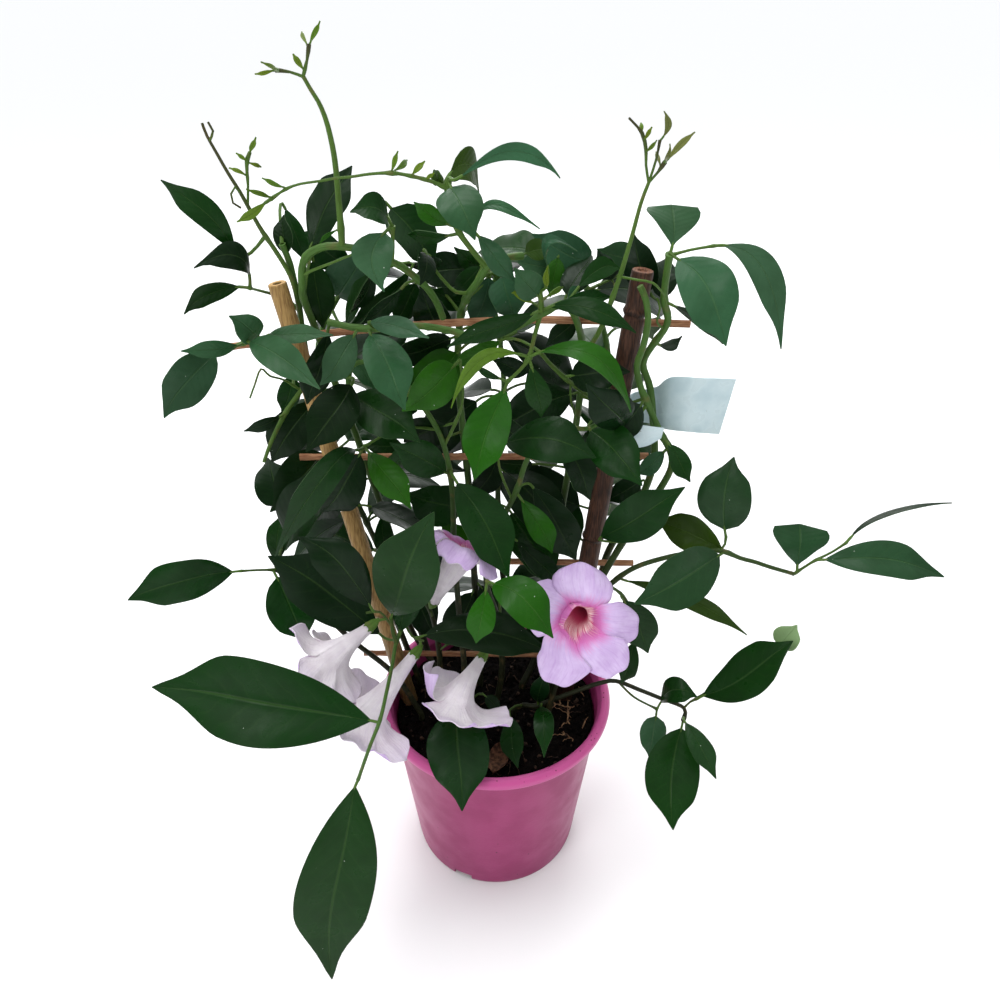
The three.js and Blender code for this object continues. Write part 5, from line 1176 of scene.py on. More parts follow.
def add_blade(shape, blade, length, stalk_share, tint):
    form = leaf_form(length)
    rows = int(np.clip(7 + length / 3.2, 8, 30))
    columns = 13 if blade["half"] > 7 else 9
    shares = np.linspace(0, 1, rows)
    shares = np.clip(shares + 0.06 * np.sin(2 * math.pi * shares), 0, 1)
    across = np.linspace(-1, 1, columns)
    across = np.sign(across) * np.abs(across) ** 0.85
    out = np.abs(across)
    swing = np.where(across < 0, *form["phases"])
    fold = LEAF_FOLD * (np.sqrt(out ** 2 + 0.01) - 0.1) - form["curl"] * out ** 3
    slimness = float(ease(blade["half"] * 2 / length, 0.36, 0.62))
    sheet, upper = np.zeros((rows, columns, 3)), np.zeros((rows, 1, 3))
    marks, ridge = np.zeros((rows, columns, 2)), np.zeros((rows, columns))
    for i, s in enumerate(shares):
        point, along = midrib(blade, stalk_share + (1 - stalk_share) * s)
        up = -unit(np.cross(along, blade["side"]))
        swell = math.sin(math.pi * s)
        lean = form["twist"] * swell
        side = blade["side"] * math.cos(lean) + up * math.sin(lean)
        up = up * math.cos(lean) - blade["side"] * math.sin(lean)
        sag = form["sag"] * swell
        point = (point + side * (form["bow"] * swell + form["hook"] * swell * math.cos(math.pi * s))
                 + up * (sag - 0.8 * sag * ease(s, 0.5, 1.0)))
        half = leaf_half(blade, slimness, s)
        wave = form["wave_height"] * np.sin(2 * math.pi * form["waves"] * s + swing) * swell
        lift = half * (fold + wave * out ** 2)
        sheet[i] = point + np.outer(across * half, side) + np.outer(lift, up)
        upper[i, 0] = up
        marks[i, :, 0] = (across + 1) / 2
        marks[i, :, 1] = s
        ridge[i] = np.where(out < 0.02, RIDGE * (1 - 0.8 * s), 0.0)
    add_plate(shape, sheet, upper, LEAF_THICKNESS, (LEAF_TOP, LEAF_UNDER), marks, tint,
              ridge if length > SMALL_LEAF else None)


def add_leaf(shape, lines, leaf):
    """A blade and its stalk. Gives back the point where the stalk leaves its stem."""
    blade, foot = leaf["blade"], leaf["foot"]
    length = size(blade["tip"] - blade["base"])
    tint = leaf_tint(leaf["tone"])
    stalk_share = 0.02 if foot is not None else min(0.14, 4.0 / length)
    add_blade(shape, blade, length, stalk_share, tint)
    root = nearest_on(lines, blade["base"] if foot is None else foot)
    stalk = [root]
    if foot is not None:
        bend = blade["base"] - midrib(blade, 0)[1] * (size(root - blade["base"]) * 0.4)
        stalk += [mix_thrice(root, bend, blade["base"], t) for t in (0.2, 0.4, 0.6, 0.8)]
    stalk += [midrib(blade, stalk_share * t)[0] for t in (0.35, 0.7, 1.0, 1.6)]
    thick = STALK_RADIUS if length > SMALL_LEAF else SMALL_STALK_RADIUS
    radii = [thick * 1.25] + [thick] * (len(stalk) - 2) + [thick * 0.6]
    add_tube(shape, stalk, radii, 6, STEM, TWIG * dice.uniform(0.8, 1.1))
    return root


# Stems. BARE_TWIGS are the ones that turn brown towards their ends, by their places in a shoot
GREEN_STEM = np.array(colour(70, 104, 44))
OLD_STEM = np.array(colour(34, 38, 20))
BARE_TWIG = np.array(colour(60, 46, 34))
BARE_TWIGS = {"vine_left": (1, 2, 4), "vine_across": (2, 3, 4), "vine_loop": (2, 3)}
HANGING_SHOOT = "vine_low_left"
OLD_BELOW, GREEN_ABOVE = 170, 330
NODE_SWELL = 0.28
NODE_REACH = 2.0


def add_stems(shape, name, lines, roots):
    """Tubes that are swollen where a leaf stands, green above and grown old below. The hanging
    shoot's stem thins and stays green where it hangs."""
    for index, stem in enumerate(lines):
        line = stem["line"]
        first, last = stem["radii"]
        shares = np.arange(len(line)) / (len(line) - 1)
        radii = first + (last - first) * shares
        if index:
            radii = radii * (1 - 0.35 * ease(1.15 - radii, 0.0, 0.5))
        for root in roots:
            gaps = np.array([size(p - root) for p in line])
            if gaps.min() < 2.5:
                radii = radii + NODE_SWELL * np.exp(-(gaps / NODE_REACH) ** 2)
        old = 1 - ease(np.array([p[2] for p in line]), OLD_BELOW, GREEN_ABOVE)[:, None]
        old = old * (0.5 if index else 1.0)
        if name == HANGING_SHOOT and index == 0:
            old = old * (1 - 0.85 * ease(shares, 0.35, 0.6)[:, None])
            radii = radii * (1 - 0.32 * ease(shares, 0.25, 0.5))
        young = TWIG if index else GREEN_STEM
        if index in BARE_TWIGS.get(name, ()):
            brown = 0.8 * ease(shares, 0.1, 0.9)[:, None]
            young = young * (1 - brown) + BARE_TWIG * brown
        tint = young * (1 - old) + OLD_STEM * old
        add_tube(shape, line, radii, 8 if index else 10, STEM, tint)


# Flowers
LOBES = 5
CALYX_LENGTH = 6.0
CALYX_MOUTH = 3.0
CALYX_SIDES = 15
TOOTH_ROWS = (0, 0.8, 1.6, 2.3)
TOOTH_THICKNESS = 0.35
TUBE_ROWS = 18
LOBE_ROWS = 16
LOBE_COLUMNS = 19
LOBE_SPAN = LOBE_COLUMNS - 1
AROUND = LOBES * LOBE_SPAN
TUBE_FOOT = 2.4
TUBE_WIDENING = 3.2
MOUTH = 9.0
MOUTH_LEAN = math.radians(34)
PETAL_THICKNESS = 0.5
# Half the width of a lobe of the usual length, at shares of its length
USUAL_LOBE = 23
LOBE_SHARES = [0, 0.15, 0.35, 0.6, 0.82, 0.94, 1.0]
LOBE_HALVES = [5.6, 8.6, 12.0, 13.7, 13.3, 12.4, 11.4]
# How each lobe of a flower differs: turned about the face, length and width as shares of the
# usual ones, and bent back further, both angles in degrees
LOBE_FORMS = {
    "flower_front": [(12, 0.94, 1.05, 0), (30, 1.16, 1.0, 4), (13, 1.06, 0.92, 0),
                     (-6, 1.0, 0.84, 6), (6, 0.97, 1.12, 0)],
    "flower_left": [(0, 0.9, 0.9, -16), (0, 0.9, 0.9, -34), (0, 0.94, 0.95, -14),
                    (0, 0.96, 1.05, -12), (0, 1, 0.85, 0)],
    "flower_low_left": [(0, 1, 1, 8), (0, 0.9, 0.9, -30), (0, 1.06, 1, 0), (0, 1, 1.1, 0),
                        (0, 1, 0.9, 15)],
    "flower_low_middle": [(0, 1, 0.9, 8), (0, 0.9, 0.9, -30), (-8, 1.08, 0.95, 8),
                          (0, 1, 1.15, 0), (0, 1, 0.75, 30)],
    "flower_upper": [(0, 1, 1, 0)] * LOBES,
}
# How far the middle of a tube is drawn aside
TUBE_LEANS = {"flower_front": (-5.0, 0.0, 2.5)}


def flower_frame(row):
    name, _, calyx, mouth, facing, lobe, reflex, roll = row
    start, end = at(calyx), at(mouth)
    face = unit(np.array(facing))
    axis = unit(end - start)
    root = start + axis * CALYX_LENGTH + axis * 0.3
    reach = size(end - root) * 0.36
    lean = np.array(TUBE_LEANS.get(name, (0, 0, 0)))
    path = [root, root + axis * reach, end - face * reach + lean, end]
    return {"start": start, "axis": axis, "path": path, "end": end, "face": face,
            "up": unit(UPWARD - face * face[2]), "lobe": lobe, "forms": LOBE_FORMS[name],
            "reflex": math.radians(reflex), "roll": math.radians(roll)}


def add_calyx(shape, lines, flower):
    """The green cup with five teeth that holds a corolla, and the stalk it stands on."""
    start, axis = flower["start"], flower["axis"]
    foot = nearest_on(lines, start)
    if size(foot - start) > 0.5:
        stalk = [foot, mix(foot, start, 0.5), start + axis]
        add_tube(shape, stalk, [0.9, 0.8, 0.95], 8, STEM, TWIG)
    length, mouth = CALYX_LENGTH, CALYX_MOUTH
    profile = [(-1, 0.9), (0.2, 1.3), (1.4, 2.0), (3.2, mouth * 0.9), (length - 0.6, mouth),
               (length + 0.3, mouth + 0.15), (length + 0.5, mouth - 0.1)]
    add_lathe(shape, start, axis, profile, CALYX_SIDES, STEM, TWIG * 1.15)
    u, w = square_to(axis, UPWARD)
    for k in range(LOBES):
        turn = 2 * math.pi * k / LOBES
        out = u * math.cos(turn) + w * math.sin(turn)
        side = np.cross(axis, out)
        base = start + axis * (length - 0.6) + out * (mouth - 0.1)
        sheet = np.array([
            [base + axis * h + out * (0.12 * h) + side * (x * (1.5 - 0.62 * h))
             for x in (-1, 0, 1)] for h in TOOTH_ROWS])
        add_plate(shape, sheet, out, TOOTH_THICKNESS, (STEM, STEM), tint=TWIG * 1.1)


def tube_points(flower):
    """Rings from the calyx to the mouth, widening and gently five-sided, and their marks."""
    p0, p1, p2, p3 = flower["path"]
    points, marks = [], []
    for i in range(TUBE_ROWS):
        t = i / (TUBE_ROWS - 1)
        a, b = mix_thrice(p0, p1, p2, t), mix_thrice(p1, p2, p3, t)
        centre = mix(a, b, t)
        u, w = square_to(unit(b - a), flower["up"])
        radius = TUBE_FOOT + TUBE_WIDENING * t + (MOUTH - TUBE_FOOT - TUBE_WIDENING) * t ** 3
        for j in range(AROUND):
            turn = flower["roll"] + 2 * math.pi * j / AROUND
            ripple = 1 + 0.05 * t * math.cos(LOBES * (turn - flower["roll"]))
            points.append(centre + radius * ripple * (u * math.cos(turn) + w * math.sin(turn)))
            marks.append(((j % LOBE_SPAN) / LOBE_SPAN, 0.5 * t))
    return points, marks


def lobe_profile(lobe, reflex):
    """How far out and how far forward a lobe's middle line is, from the mouth to its end. It
    leaves the funnel at a slant and rolls back."""
    lean_end = math.pi / 2 + 1.5 * reflex + math.radians(8)
    step = lobe * 1.04 / LOBE_ROWS
    out, rise = [0.0], [0.0]
    for i in range(LOBE_ROWS):
        b = (i + 0.5) / LOBE_ROWS
        lean = MOUTH_LEAN + (lean_end - MOUTH_LEAN) * float(ease(b, -0.05, 0.6))
        out.append(out[-1] + step * math.sin(lean))
        rise.append(rise[-1] + step * math.cos(lean))
    return out, rise


def lobe_points(flower, k):
    """Rows of points from the mouth to the rounded end of one lobe, and their marks. In a row, a
    runs from -1 to 1 across the lobe. Along it, b runs from 0 to 1."""
    aside, longer, wider, bent = flower["forms"][k]
    lobe = flower["lobe"] * longer * dice.uniform(0.98, 1.03)
    outs, rises = lobe_profile(lobe, flower["reflex"] + math.radians(bent + dice.uniform(-4, 4)))
    phase, waves = dice.uniform(0, 6.28), dice.uniform(1.4, 2.4)
    ruffle, skew, curl = dice.uniform(0.8, 1.4), dice.uniform(-0.12, 0.12), dice.uniform(0.5, 2.4)
    u, w = square_to(flower["face"], flower["up"])
    points, marks = [], []
    for i in range(1, LOBE_ROWS + 1):
        b = i / LOBE_ROWS
        middle = flower["roll"] + 2 * math.pi * (k + 0.5) / LOBES
        middle += math.radians(aside) * float(ease(b, 0, 0.6))
        radial = u * math.cos(middle) + w * math.sin(middle)
        lateral = -u * math.sin(middle) + w * math.cos(middle)
        wide = 1 + (wider * flower["lobe"] / USUAL_LOBE - 1) * float(ease(b, 0, 0.4))
        width = wide * float(np.interp(b, LOBE_SHARES, LOBE_HALVES))
        for j in range(LOBE_COLUMNS):
            a = 2 * j / LOBE_SPAN - 1
            bow = MOUTH * (math.cos(math.radians(36) * a) * (1 - b) + b)
            cut_back = lobe * 0.38 * (1 - math.sqrt(1 - 0.97 * a * a)) * b * b
            rise = (rises[i] + 1.9 * a * b * (1.25 - b)
                    + ruffle * b ** 1.5 * math.sin(waves * math.pi * a + phase)
                    - curl * abs(a) ** 3 * b - 1.1 * (1 - abs(a)) ** 4 * b * (1 - b) * 3)
            fringe = 0.5 * b ** 5 * math.sin(5 * a + 2 * phase)
            points.append(flower["end"] + radial * (bow + outs[i] - cut_back + fringe)
                          + lateral * (a * width + skew * lobe * b * b)
                          + flower["face"] * rise)
            marks.append((j / LOBE_SPAN, 0.5 + 0.5 * b))
    return points, marks


def flower_shape(flower):
    """The inside face of a corolla: a tube of rings, and five lobes that part at its mouth."""
    points, marks = tube_points(flower)
    faces = grid_faces(TUBE_ROWS, AROUND, closed=True)
    mouth_ring = (TUBE_ROWS - 1) * AROUND
    for k in range(LOBES):
        first = len(points)
        more_points, more_marks = lobe_points(flower, k)
        points += more_points
        marks += more_marks
        rows = [[mouth_ring + (k * LOBE_SPAN + j) % AROUND for j in range(LOBE_COLUMNS)]]
        rows += [[first + i * LOBE_COLUMNS + j for j in range(LOBE_COLUMNS)]
                 for i in range(LOBE_ROWS)]
        for lower, higher in zip(rows[:-1], rows[1:]):
            faces += [(lower[j], lower[j + 1], higher[j + 1], higher[j])
                      for j in range(LOBE_SPAN)]
    shape = Shape()
    shape.add(points, [face[::-1] for face in faces], 0, marks)
    return shape


for name, stems, rows in SHOOTS:
    corners = Corners(name)
    coarse = stem_lines(stems, STEM_STEP, TWIG_STEP)
    fine = stem_lines(stems, FINE_STEP, FINE_STEP)
    leaves = hand_leaves(corners, coarse, rows)
    for owner, *rule in RULE_LEAVES:
        if owner == name:
            leaves += rule_leaves(corners, coarse, *rule)
    shape = Shape()
    roots = [add_leaf(shape, fine, leaf) for leaf in leaves]
    add_stems(shape, name, fine, roots)
    for row in FLOWERS:
        if row[1] == name:
            add_calyx(shape, fine, flower_frame(row))
    make_piece(name + "_growth", shape, shoot_looks, name)

petal_looks = [petal_look("petal_inside", petal_inside), petal_look("petal_outside", petal_outside)]
for row in FLOWERS:
    corolla = flower_shape(flower_frame(row))
    piece = make_piece(row[0] + "_petals", corolla, petal_looks, row[0])
    thickness = piece.modifiers.new("thickness", "SOLIDIFY")
    thickness.thickness = PETAL_THICKNESS * MM
    thickness.offset = -1
    thickness.material_offset = 1
    thickness.material_offset_rim = 1

# Pot
POT_RADIUS = 70.0
POT_HEIGHT = 120.0
LIP_WIDTH = 5.5
LIP_HEIGHT = 6.5
LIP_FOOT = POT_HEIGHT - LIP_HEIGHT
WALL_TOP_RADIUS = 64.0
FOOT_RADIUS = 52.8
FOOT_HEIGHT = 3.4
FOOT_RING_WIDTH = 2.4
WALL = 1.6
FLOOR_RISE = 4.5
FLOOR_THICKNESS = 2.0
FLOOR_TOP = FLOOR_RISE + FLOOR_THICKNESS
CENTRE_PAD_RADIUS = 28.0
CORNER_ROUNDING = 0.9
NOTCH = {"width": 12.0, "height": 5.0, "count": 3, "first": 246}
DRAIN = {"radius": 4.0, "ring": 39.0, "count": 6}
DRAIN_SIDES = 24
POT_SIDES = 128


def rounded(profile, reach, steps=4):
    """A profile with its inner corners rounded, each by up to a reach."""
    points = [np.array(p, float) for p in profile]
    out = [points[0]]
    for before, corner, after in zip(points[:-2], points[1:-1], points[2:]):
        one = min(reach, 0.45 * size(before - corner))
        two = min(reach, 0.45 * size(after - corner))
        a = corner + unit(before - corner) * one
        b = corner + unit(after - corner) * two
        out += [mix_thrice(a, corner, b, t) for t in np.linspace(0, 1, steps)]
    return out + [points[-1]]


def pot_shape():
    """The pot turned about its axis, from a profile of heights and radii."""
    foot_inner = FOOT_RADIUS - FOOT_RING_WIDTH
    under = [
        (0, 1), (0, CENTRE_PAD_RADIUS), (FLOOR_RISE, CENTRE_PAD_RADIUS + 1.5),
        (FLOOR_RISE, foot_inner - 0.5), (0, foot_inner), (0, FOOT_RADIUS - 0.6),
        (FOOT_HEIGHT, FOOT_RADIUS)]
    step = LIP_FOOT - 4.0
    wall_share = (step - FOOT_HEIGHT) / (LIP_FOOT - FOOT_HEIGHT)
    step_radius = FOOT_RADIUS + (WALL_TOP_RADIUS - FOOT_RADIUS) * wall_share
    outside = [
        (step, step_radius), (step + 0.5, step_radius + 0.35),
        (LIP_FOOT, WALL_TOP_RADIUS + 0.3), (LIP_FOOT - 0.2, POT_RADIUS - 1.0),
        (LIP_FOOT + 1.1, POT_RADIUS - 0.1), (POT_HEIGHT - 2.4, POT_RADIUS),
        (POT_HEIGHT - 0.2, POT_RADIUS - 1.6), (POT_HEIGHT, POT_RADIUS - 3),
        (POT_HEIGHT - 0.8, POT_RADIUS - LIP_WIDTH + 0.3)]
    inside = [
        (LIP_FOOT - 1, WALL_TOP_RADIUS - WALL), (FLOOR_TOP, FOOT_RADIUS - WALL), (FLOOR_TOP, 1)]
    shape = Shape()
    add_lathe(shape, ORIGIN, UPWARD, rounded(under + outside + inside, CORNER_ROUNDING), POT_SIDES)
    return shape


def notch_and_drain_shape():
    """What is cut from the pot: boxes through its foot ring and rods through its floor."""
    shape = Shape()
    half_width, height = NOTCH["width"] / 2, NOTCH["height"]
    corners = [(-half_width, -height), (half_width, -height), (half_width, height),
               (-half_width, height)]
    for k in range(NOTCH["count"]):
        out = level_way(math.radians(NOTCH["first"] + 360 / NOTCH["count"] * k))
        across = np.cross(UPWARD, out)
        add_rings(shape, [[out * depth + across * x + UPWARD * z for x, z in corners]
                          for depth in (FOOT_RADIUS - 6, FOOT_RADIUS + 4)])
    for k in range(DRAIN["count"]):
        foot = level_way((k + 0.5) * 2 * math.pi / DRAIN["count"]) * DRAIN["ring"]
        rod = [(-5, DRAIN["radius"]), (15, DRAIN["radius"])]
        add_lathe(shape, foot, UPWARD, rod, DRAIN_SIDES)
    return shape


def cut(piece, cutter_shape):
    cutter = add_object("cutter", cutter_shape.mesh("cutter"))
    modifier = piece.modifiers.new("cut", "BOOLEAN")
    modifier.operation = "DIFFERENCE"
    modifier.solver = "EXACT"
    modifier.object = cutter
    bpy.context.view_layer.update()
    graph = bpy.context.evaluated_depsgraph_get()
    result = bpy.data.meshes.new_from_object(piece.evaluated_get(graph))
    piece.modifiers.remove(modifier)
    piece.data = result
    bpy.data.objects.remove(cutter)


pot = make_piece("pot_shell", pot_shape(), [pot_look()], "pot")
cut(pot, notch_and_drain_shape())
pot.data.set_sharp_from_angle(angle=SHARP_ANGLE)

# Soil
SOIL_RINGS = 64
SOIL_SIDES = 180
SOIL_GAP = 0.4
SOIL_BOTTOM = FLOOR_TOP + 0.3
SOIL, BARK, STRAW, DEAD_LEAF = 0, 1, 2, 3
LITTER_REACH = 58
STRAW_ACROSS, STRAW_DOWN = (548, 612), (690, 765)


def wall_inside(height):
    rise = (height - FLOOR_RISE - FLOOR_THICKNESS) / (POT_HEIGHT - LIP_HEIGHT - FLOOR_RISE)
    return FOOT_RADIUS - WALL + (WALL_TOP_RADIUS - FOOT_RADIUS) * rise - 0.6


def soil_height(x, y):
    ripple = math.sin(x * 0.17 + 1) * math.cos(y * 0.21 + 0.4) * 1.6
    lumps = noise.fractal(Vector((x * 0.09, y * 0.09, 3.0)), 0.6, 2.1, 4) * 2.2
    crumbs = abs(noise.noise(Vector((x * 0.55, y * 0.55, 8.0)))) * 1.6
    return SOIL_TOP + ripple + lumps + crumbs - 0.8


def soil_shape():
    shape = Shape()
    rings = [level_ring(UPWARD * height, wall_inside(height) - SOIL_GAP, SOIL_SIDES)
             for height in (SOIL_BOTTOM, SOIL_TOP * 0.5, SOIL_TOP - 2)]
    edge = wall_inside(SOIL_TOP) - SOIL_GAP
    for k in range(SOIL_RINGS):
        ring = level_ring(ORIGIN, edge * (1 - k / SOIL_RINGS), SOIL_SIDES)
        for p in ring:
            p[2] = soil_height(p[0], p[1]) - (1.5 if k == 0 else 0.0)
        rings.append(ring)
    add_rings(shape, rings)
    return shape


def on_bed(x, y, above):
    return np.array([x, y, soil_height(x, y) + above])


def bed_place(across, down):
    place = on_soil((across, down))
    return place[0], place[1]


def spot_within(reach):
    spread, azimuth = reach * math.sqrt(dice.random()), dice.uniform(0, 2 * math.pi)
    return spread * math.cos(azimuth), spread * math.sin(azimuth)


def spot_of_straw():
    return bed_place(dice.uniform(*STRAW_ACROSS), dice.uniform(*STRAW_DOWN))


def add_crumb(shape, centre, radius, kind):
    rings = []
    for height in (-0.8, -0.3, 0.3, 0.8):
        flat = math.sqrt(1 - height ** 2) * radius
        ring = level_ring(centre + UPWARD * (height * radius), flat, 6)
        rings.append([p + np.array([dice.uniform(-0.3, 0.3) for _ in range(3)]) * radius
                      for p in ring])
    add_rings(shape, rings, kind)


def add_fibre(shape, x, y, length, azimuth, kind, radius):
    """A bent thread that lies on the soil. One that would cross the pot's wall is left out."""
    line = []
    for i in range(7):
        t = i / 6 - 0.5
        bend = azimuth + t * dice.uniform(-0.8, 0.8)
        px, py = x + length * t * math.cos(bend), y + length * t * math.sin(bend)
        if math.hypot(px, py) > LITTER_REACH:
            return
        line.append(on_bed(px, py, 0.3 + dice.uniform(0, 0.9)))
    add_tube(shape, line, [radius * 0.7] + [radius] * 5 + [radius * 0.5], 5, kind)


def add_fibres(shape, count, spot, lengths, radii, kind):
    for _ in range(count):
        x, y = spot()
        length, azimuth = dice.uniform(*lengths), dice.uniform(0, math.pi)
        add_fibre(shape, x, y, length, azimuth, kind, dice.uniform(*radii))


def add_dead_leaf(shape, across, down, length, width, azimuth):
    x, y = bed_place(across, down)
    rows, columns = 12, 9
    sheet = np.zeros((rows, columns, 3))
    for i in range(rows):
        s = i / (rows - 1)
        half = max(0.2, width / 2 * half_share(OUTLINES["ovate"], s))
        for j in range(columns):
            a = 2 * j / (columns - 1) - 1
            px = x + math.cos(azimuth) * length * (s - 0.5) - math.sin(azimuth) * half * a
            py = y + math.sin(azimuth) * length * (s - 0.5) + math.cos(azimuth) * half * a
            curl = 2.2 * abs(a) ** 2 + 1.2 * math.sin(3 * s * math.pi)
            sheet[i, j] = (px, py, SOIL_TOP + 2.6 + curl)
    add_plate(shape, sheet, UPWARD, 0.35, (DEAD_LEAF, DEAD_LEAF))


bed = soil_shape()
for _ in range(520):
    x, y = spot_within(57)
    radius = dice.uniform(0.5, 1.5)
    add_crumb(bed, on_bed(x, y, radius * 0.2), radius, dice.choice([SOIL, SOIL, SOIL, BARK]))
add_fibres(bed, 34, spot_of_straw, (5, 15), (0.22, 0.5), STRAW)
add_fibres(bed, 40, lambda: spot_within(55), (4, 12), (0.2, 0.45), BARK)
add_dead_leaf(bed, 498, 762, length=22, width=12, azimuth=math.radians(75))
make_piece("soil_bed", bed, [
    soil_look(), litter_look("soil_bark", colour(66, 48, 36), colour(30, 22, 18)),
    litter_look("soil_straw", colour(150, 118, 88), colour(92, 66, 48)),
    litter_look("dead_leaf", colour(116, 82, 60), colour(66, 44, 32)),
], "soil")

# Cane rack. A stake's joints are at shares of its length above the soil. Pith is how deep the
# hollow in its sawn end is, and paler how much paler that end is
STAKES = {
    "stake_left": {
        "foot": [409, 697], "top": [277, 283, 0], "radii": (5.2, 4.3),
        "joints": (0.27, 0.55, 0.83), "pith": 7.0, "paler": 1.35,
        "look": "cane_tan", "skin": colour(176, 142, 88), "shade": colour(136, 104, 62)},
    "stake_right": {
        "foot": [563, 695], "top": [643, 270, 0], "radii": (5.8, 5.0),
        "joints": (0.2, 0.46, 0.7, 0.93), "pith": 1.1, "paler": 3.4,
        "look": "cane_dark", "skin": colour(82, 54, 40), "shade": colour(40, 26, 20)},
}
STAKE_BURIED = 84.0
JOINT_SWELL, JOINT_WAIST, JOINT_SHADE = 0.75, 0.35, 0.55
DEEP_PITH = 2
CANE_SIDES = 28
RUNGS = {
    "rung_1": [[222, 348], [350, 331], [520, 320], [690, 324]],
    "rung_2": [[300, 457], [648, 456]],
    "rung_3": [[330, 559], [633, 563]],
    "rung_4": [[364, 653], [600, 655]],
}
RUNG_HALF_HEIGHT = 1.9
RUNG_HALF_DEPTH = 1.5
RUNG_FACE = math.cos(math.pi / 6)
RUNG_SIDES = 12


def stake_shape(stake):
    low = np.array([on_soil(stake["foot"])[0], RACK_Y, SOIL_TOP])
    run = at(stake["top"]) - low
    length = size(run)
    joints = [share * length for share in stake["joints"]]
    foot_radius, top_radius = stake["radii"]
    pith, paler = stake["pith"], stake["paler"]

    def radius(height):
        base = foot_radius + (top_radius - foot_radius) * (height + STAKE_BURIED) / (
            length + STAKE_BURIED)
        for joint in joints:
            base += JOINT_SWELL * bump(height - joint, 1.3)
            base -= JOINT_WAIST * bump(height - joint + 2.6, 1.0)
        return base

    heights = list(np.arange(-STAKE_BURIED, length - 1.0, 4.0))
    for joint in joints:
        heights += [joint + d for d in np.arange(-5, 4.1, 0.6)]
    end = radius(length)
    profile = [(h, radius(h)) for h in sorted(heights) + [length - 0.8]]
    profile += [(length - 0.2, end - 0.15), (length, end - 0.5), (length - 0.1, end * 0.5),
                (length - 0.9, end * 0.42), (length - pith, end * 0.4)]
    shape = Shape()
    add_lathe(shape, low, unit(run), profile, CANE_SIDES)
    tints = shape.tints[0].reshape(-1, CANE_SIDES, 3)
    for i, (height, _) in enumerate(profile):
        for joint in joints:
            tints[i] *= 1 - JOINT_SHADE * bump(height - joint + 0.8, 1.1)
        # painted shade: a stake darkens towards the soil, where the foliage shades it
        tints[i] *= 0.4 + 0.6 * ease(height, 15, 80)
    tints[-4:-2] *= paler
    # painted shade: a deep hollow in the sawn end is darkened, and a shallow one is made paler
    tints[-2:] *= 0.35 if pith > DEEP_PITH else paler
    return shape


def rung_line(places):
    """A rung's line, which lies just behind both stakes."""
    down = places[0][1]
    ends = []
    for stake in STAKES.values():
        foot, top, (foot_radius, top_radius) = stake["foot"], stake["top"], stake["radii"]
        share = (foot[1] - down) / (foot[1] - top[1])
        stake_radius = foot_radius + (top_radius - foot_radius) * share ** 0.9
        depth = stake_radius + 0.3 + RUNG_HALF_DEPTH * RUNG_FACE
        ends.append((foot[0] + (top[0] - foot[0]) * share, depth))
    (left, depth_left), (right, depth_right) = ends
    behind = [depth_left + (depth_right - depth_left) * (across - left) / (right - left)
              for across, _ in places]
    return smooth_line([at((*place, -depth)) for place, depth in zip(places, behind)], FINE_STEP)


for name, stake in STAKES.items():
    look = cane_look(stake["look"], stake["skin"], stake["shade"])
    make_piece(name + "_cane", stake_shape(stake), [look], name)

rung_look = split_cane_look()
for name, places in RUNGS.items():
    line = rung_line(places)
    radii = [RUNG_HALF_HEIGHT * (1 + 0.10 * noise.noise(Vector((i * 0.35, len(name), 2.0))))
             for i in range(len(line))]
    shape = Shape()
    add_tube(shape, line, radii, RUNG_SIDES, flat=(1, RUNG_HALF_DEPTH / RUNG_HALF_HEIGHT))
    make_piece(name + "_cane", shape, [rung_look], name)

# Label: rows of upper edge, lower edge and place in front
LABEL_ROWS = [
    [[736, 379], [719, 434], 2], [[704, 378], [692, 432], 5], [[672, 377], [666, 429], 0],
    [[658, 386], [654, 424], -7], [[644, 390], [640, 422], -9], [[632, 394], [628, 424], -4],
    [[630.5, 402], [626.5, 432], 6], [[636, 422], [632, 446], 15], [[648, 426], [646, 446], 17],
    [[664, 428], [661, 438], 16],
]
LABEL_STEPS = 9
LABEL_THICKNESS = 0.6


def label_sheet():
    edges = [[at((*row[side], row[2])) for row in LABEL_ROWS] for side in (0, 1)]
    last = len(LABEL_ROWS) - 2
    lines = [[spline(places, i, t) for i in range(last + 1)
              for t in np.linspace(0, 1, LABEL_STEPS, endpoint=i == last)] for places in edges]
    return np.array([[mix(top, bottom, s) for s in np.linspace(0, 1, LABEL_STEPS)]
                     for top, bottom in zip(*lines)])


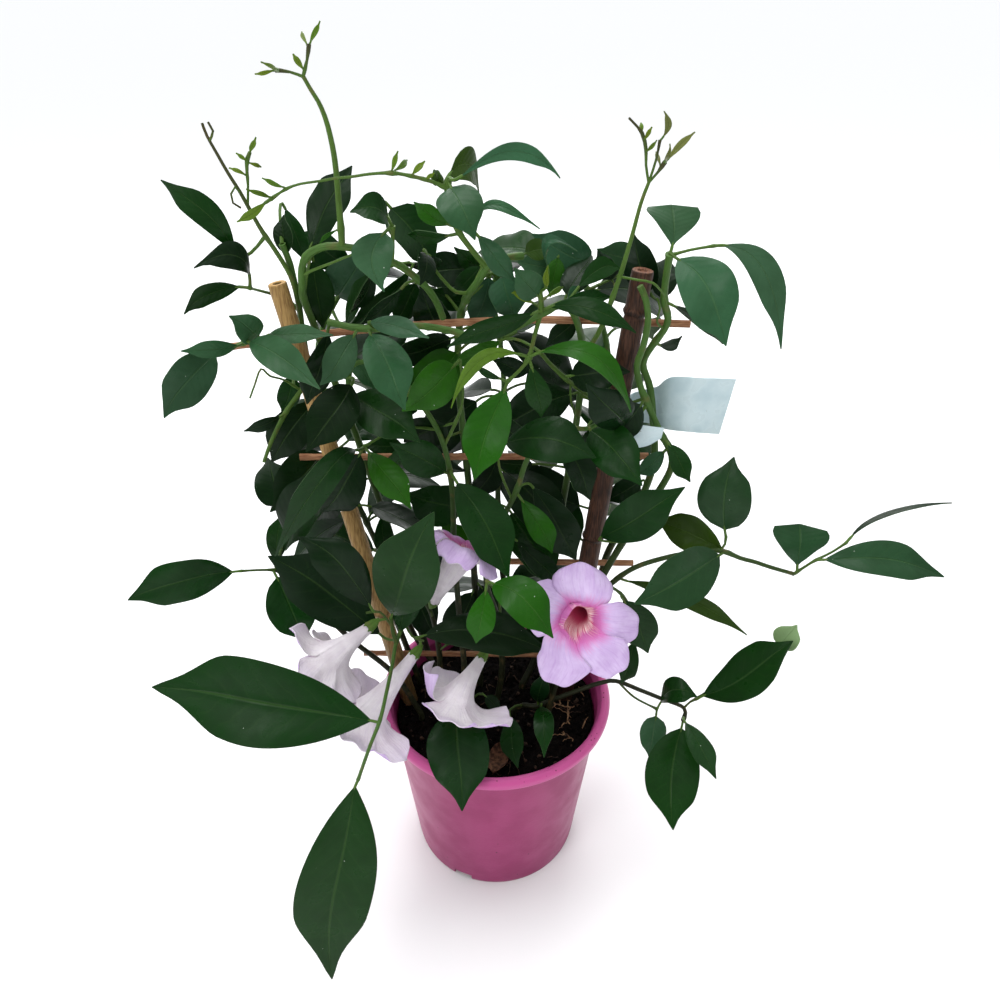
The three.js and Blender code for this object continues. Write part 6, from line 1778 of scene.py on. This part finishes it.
label = Shape()
add_plate(label, label_sheet(), np.array([0.0, -1.0, 0.3]), LABEL_THICKNESS, (0, 0))
make_piece("label_strip", label, [label_look()], "label")

# Floor, light and surroundings
FLOOR_REACH = 200.0
FLOOR_SIDES = 64
HORIZON_LIGHT = 0.36
ZENITH_LIGHT = 1.5
BACK_LIGHT = 0.4
# Name, place, height of what it points at, width and power, in metres and watts
LAMPS = [
    ("overhead", (-0.4, 0.2, 1.7), 0.2, 1.0, 12),
    ("behind", (0.1, 1.7, 1.25), 0.25, 1.3, 14),
    ("front_left", (-1.1, -1.3, 1.3), 0.2, 0.9, 9),
]


def add_floor():
    mesh = bpy.data.meshes.new("floor")
    corners = [level_way(k * 2 * math.pi / FLOOR_SIDES) * FLOOR_REACH for k in range(FLOOR_SIDES)]
    mesh.from_pydata([tuple(corner) for corner in corners], [], [tuple(range(FLOOR_SIDES))])
    mesh.materials.append(Look("floor", 0.9, 0.1).finish((0.9, 0.9, 0.9)))
    add_object("floor", mesh)


def studio_world():
    """White surroundings, brighter overhead than at the sides and behind than in front."""
    world = bpy.data.worlds.new("studio")
    world.use_nodes = True
    nodes = Nodes(world.node_tree)
    _, behind, above = nodes.parts(nodes.node("TexCoord").outputs["Generated"])
    climb = nodes.ease(above, 0.0, 1.0, HORIZON_LIGHT, ZENITH_LIGHT, "LINEAR")
    strength = nodes.times(climb, nodes.scaled(behind, BACK_LIGHT, 1.0))
    background = nodes.tree.nodes["Background"]
    background.inputs["Color"].default_value = (0.97, 0.985, 1.0, 1.0)
    nodes.set(background.inputs["Strength"], strength)
    return world


def add_lamp(name, place, target_height, width, power):
    data = bpy.data.lights.new(name, "AREA")
    data.shape = "DISK"
    data.size = width
    data.energy = power
    lamp = add_object(name, data)
    lamp.location = place
    way = Vector((0, 0, target_height)) - Vector(place)
    lamp.rotation_euler = way.to_track_quat("-Z", "Y").to_euler()


add_floor()
bpy.context.scene.world = studio_world()
for lamp in LAMPS:
    add_lamp(*lamp)
bpy.context.scene.view_settings.view_transform = "Standard"
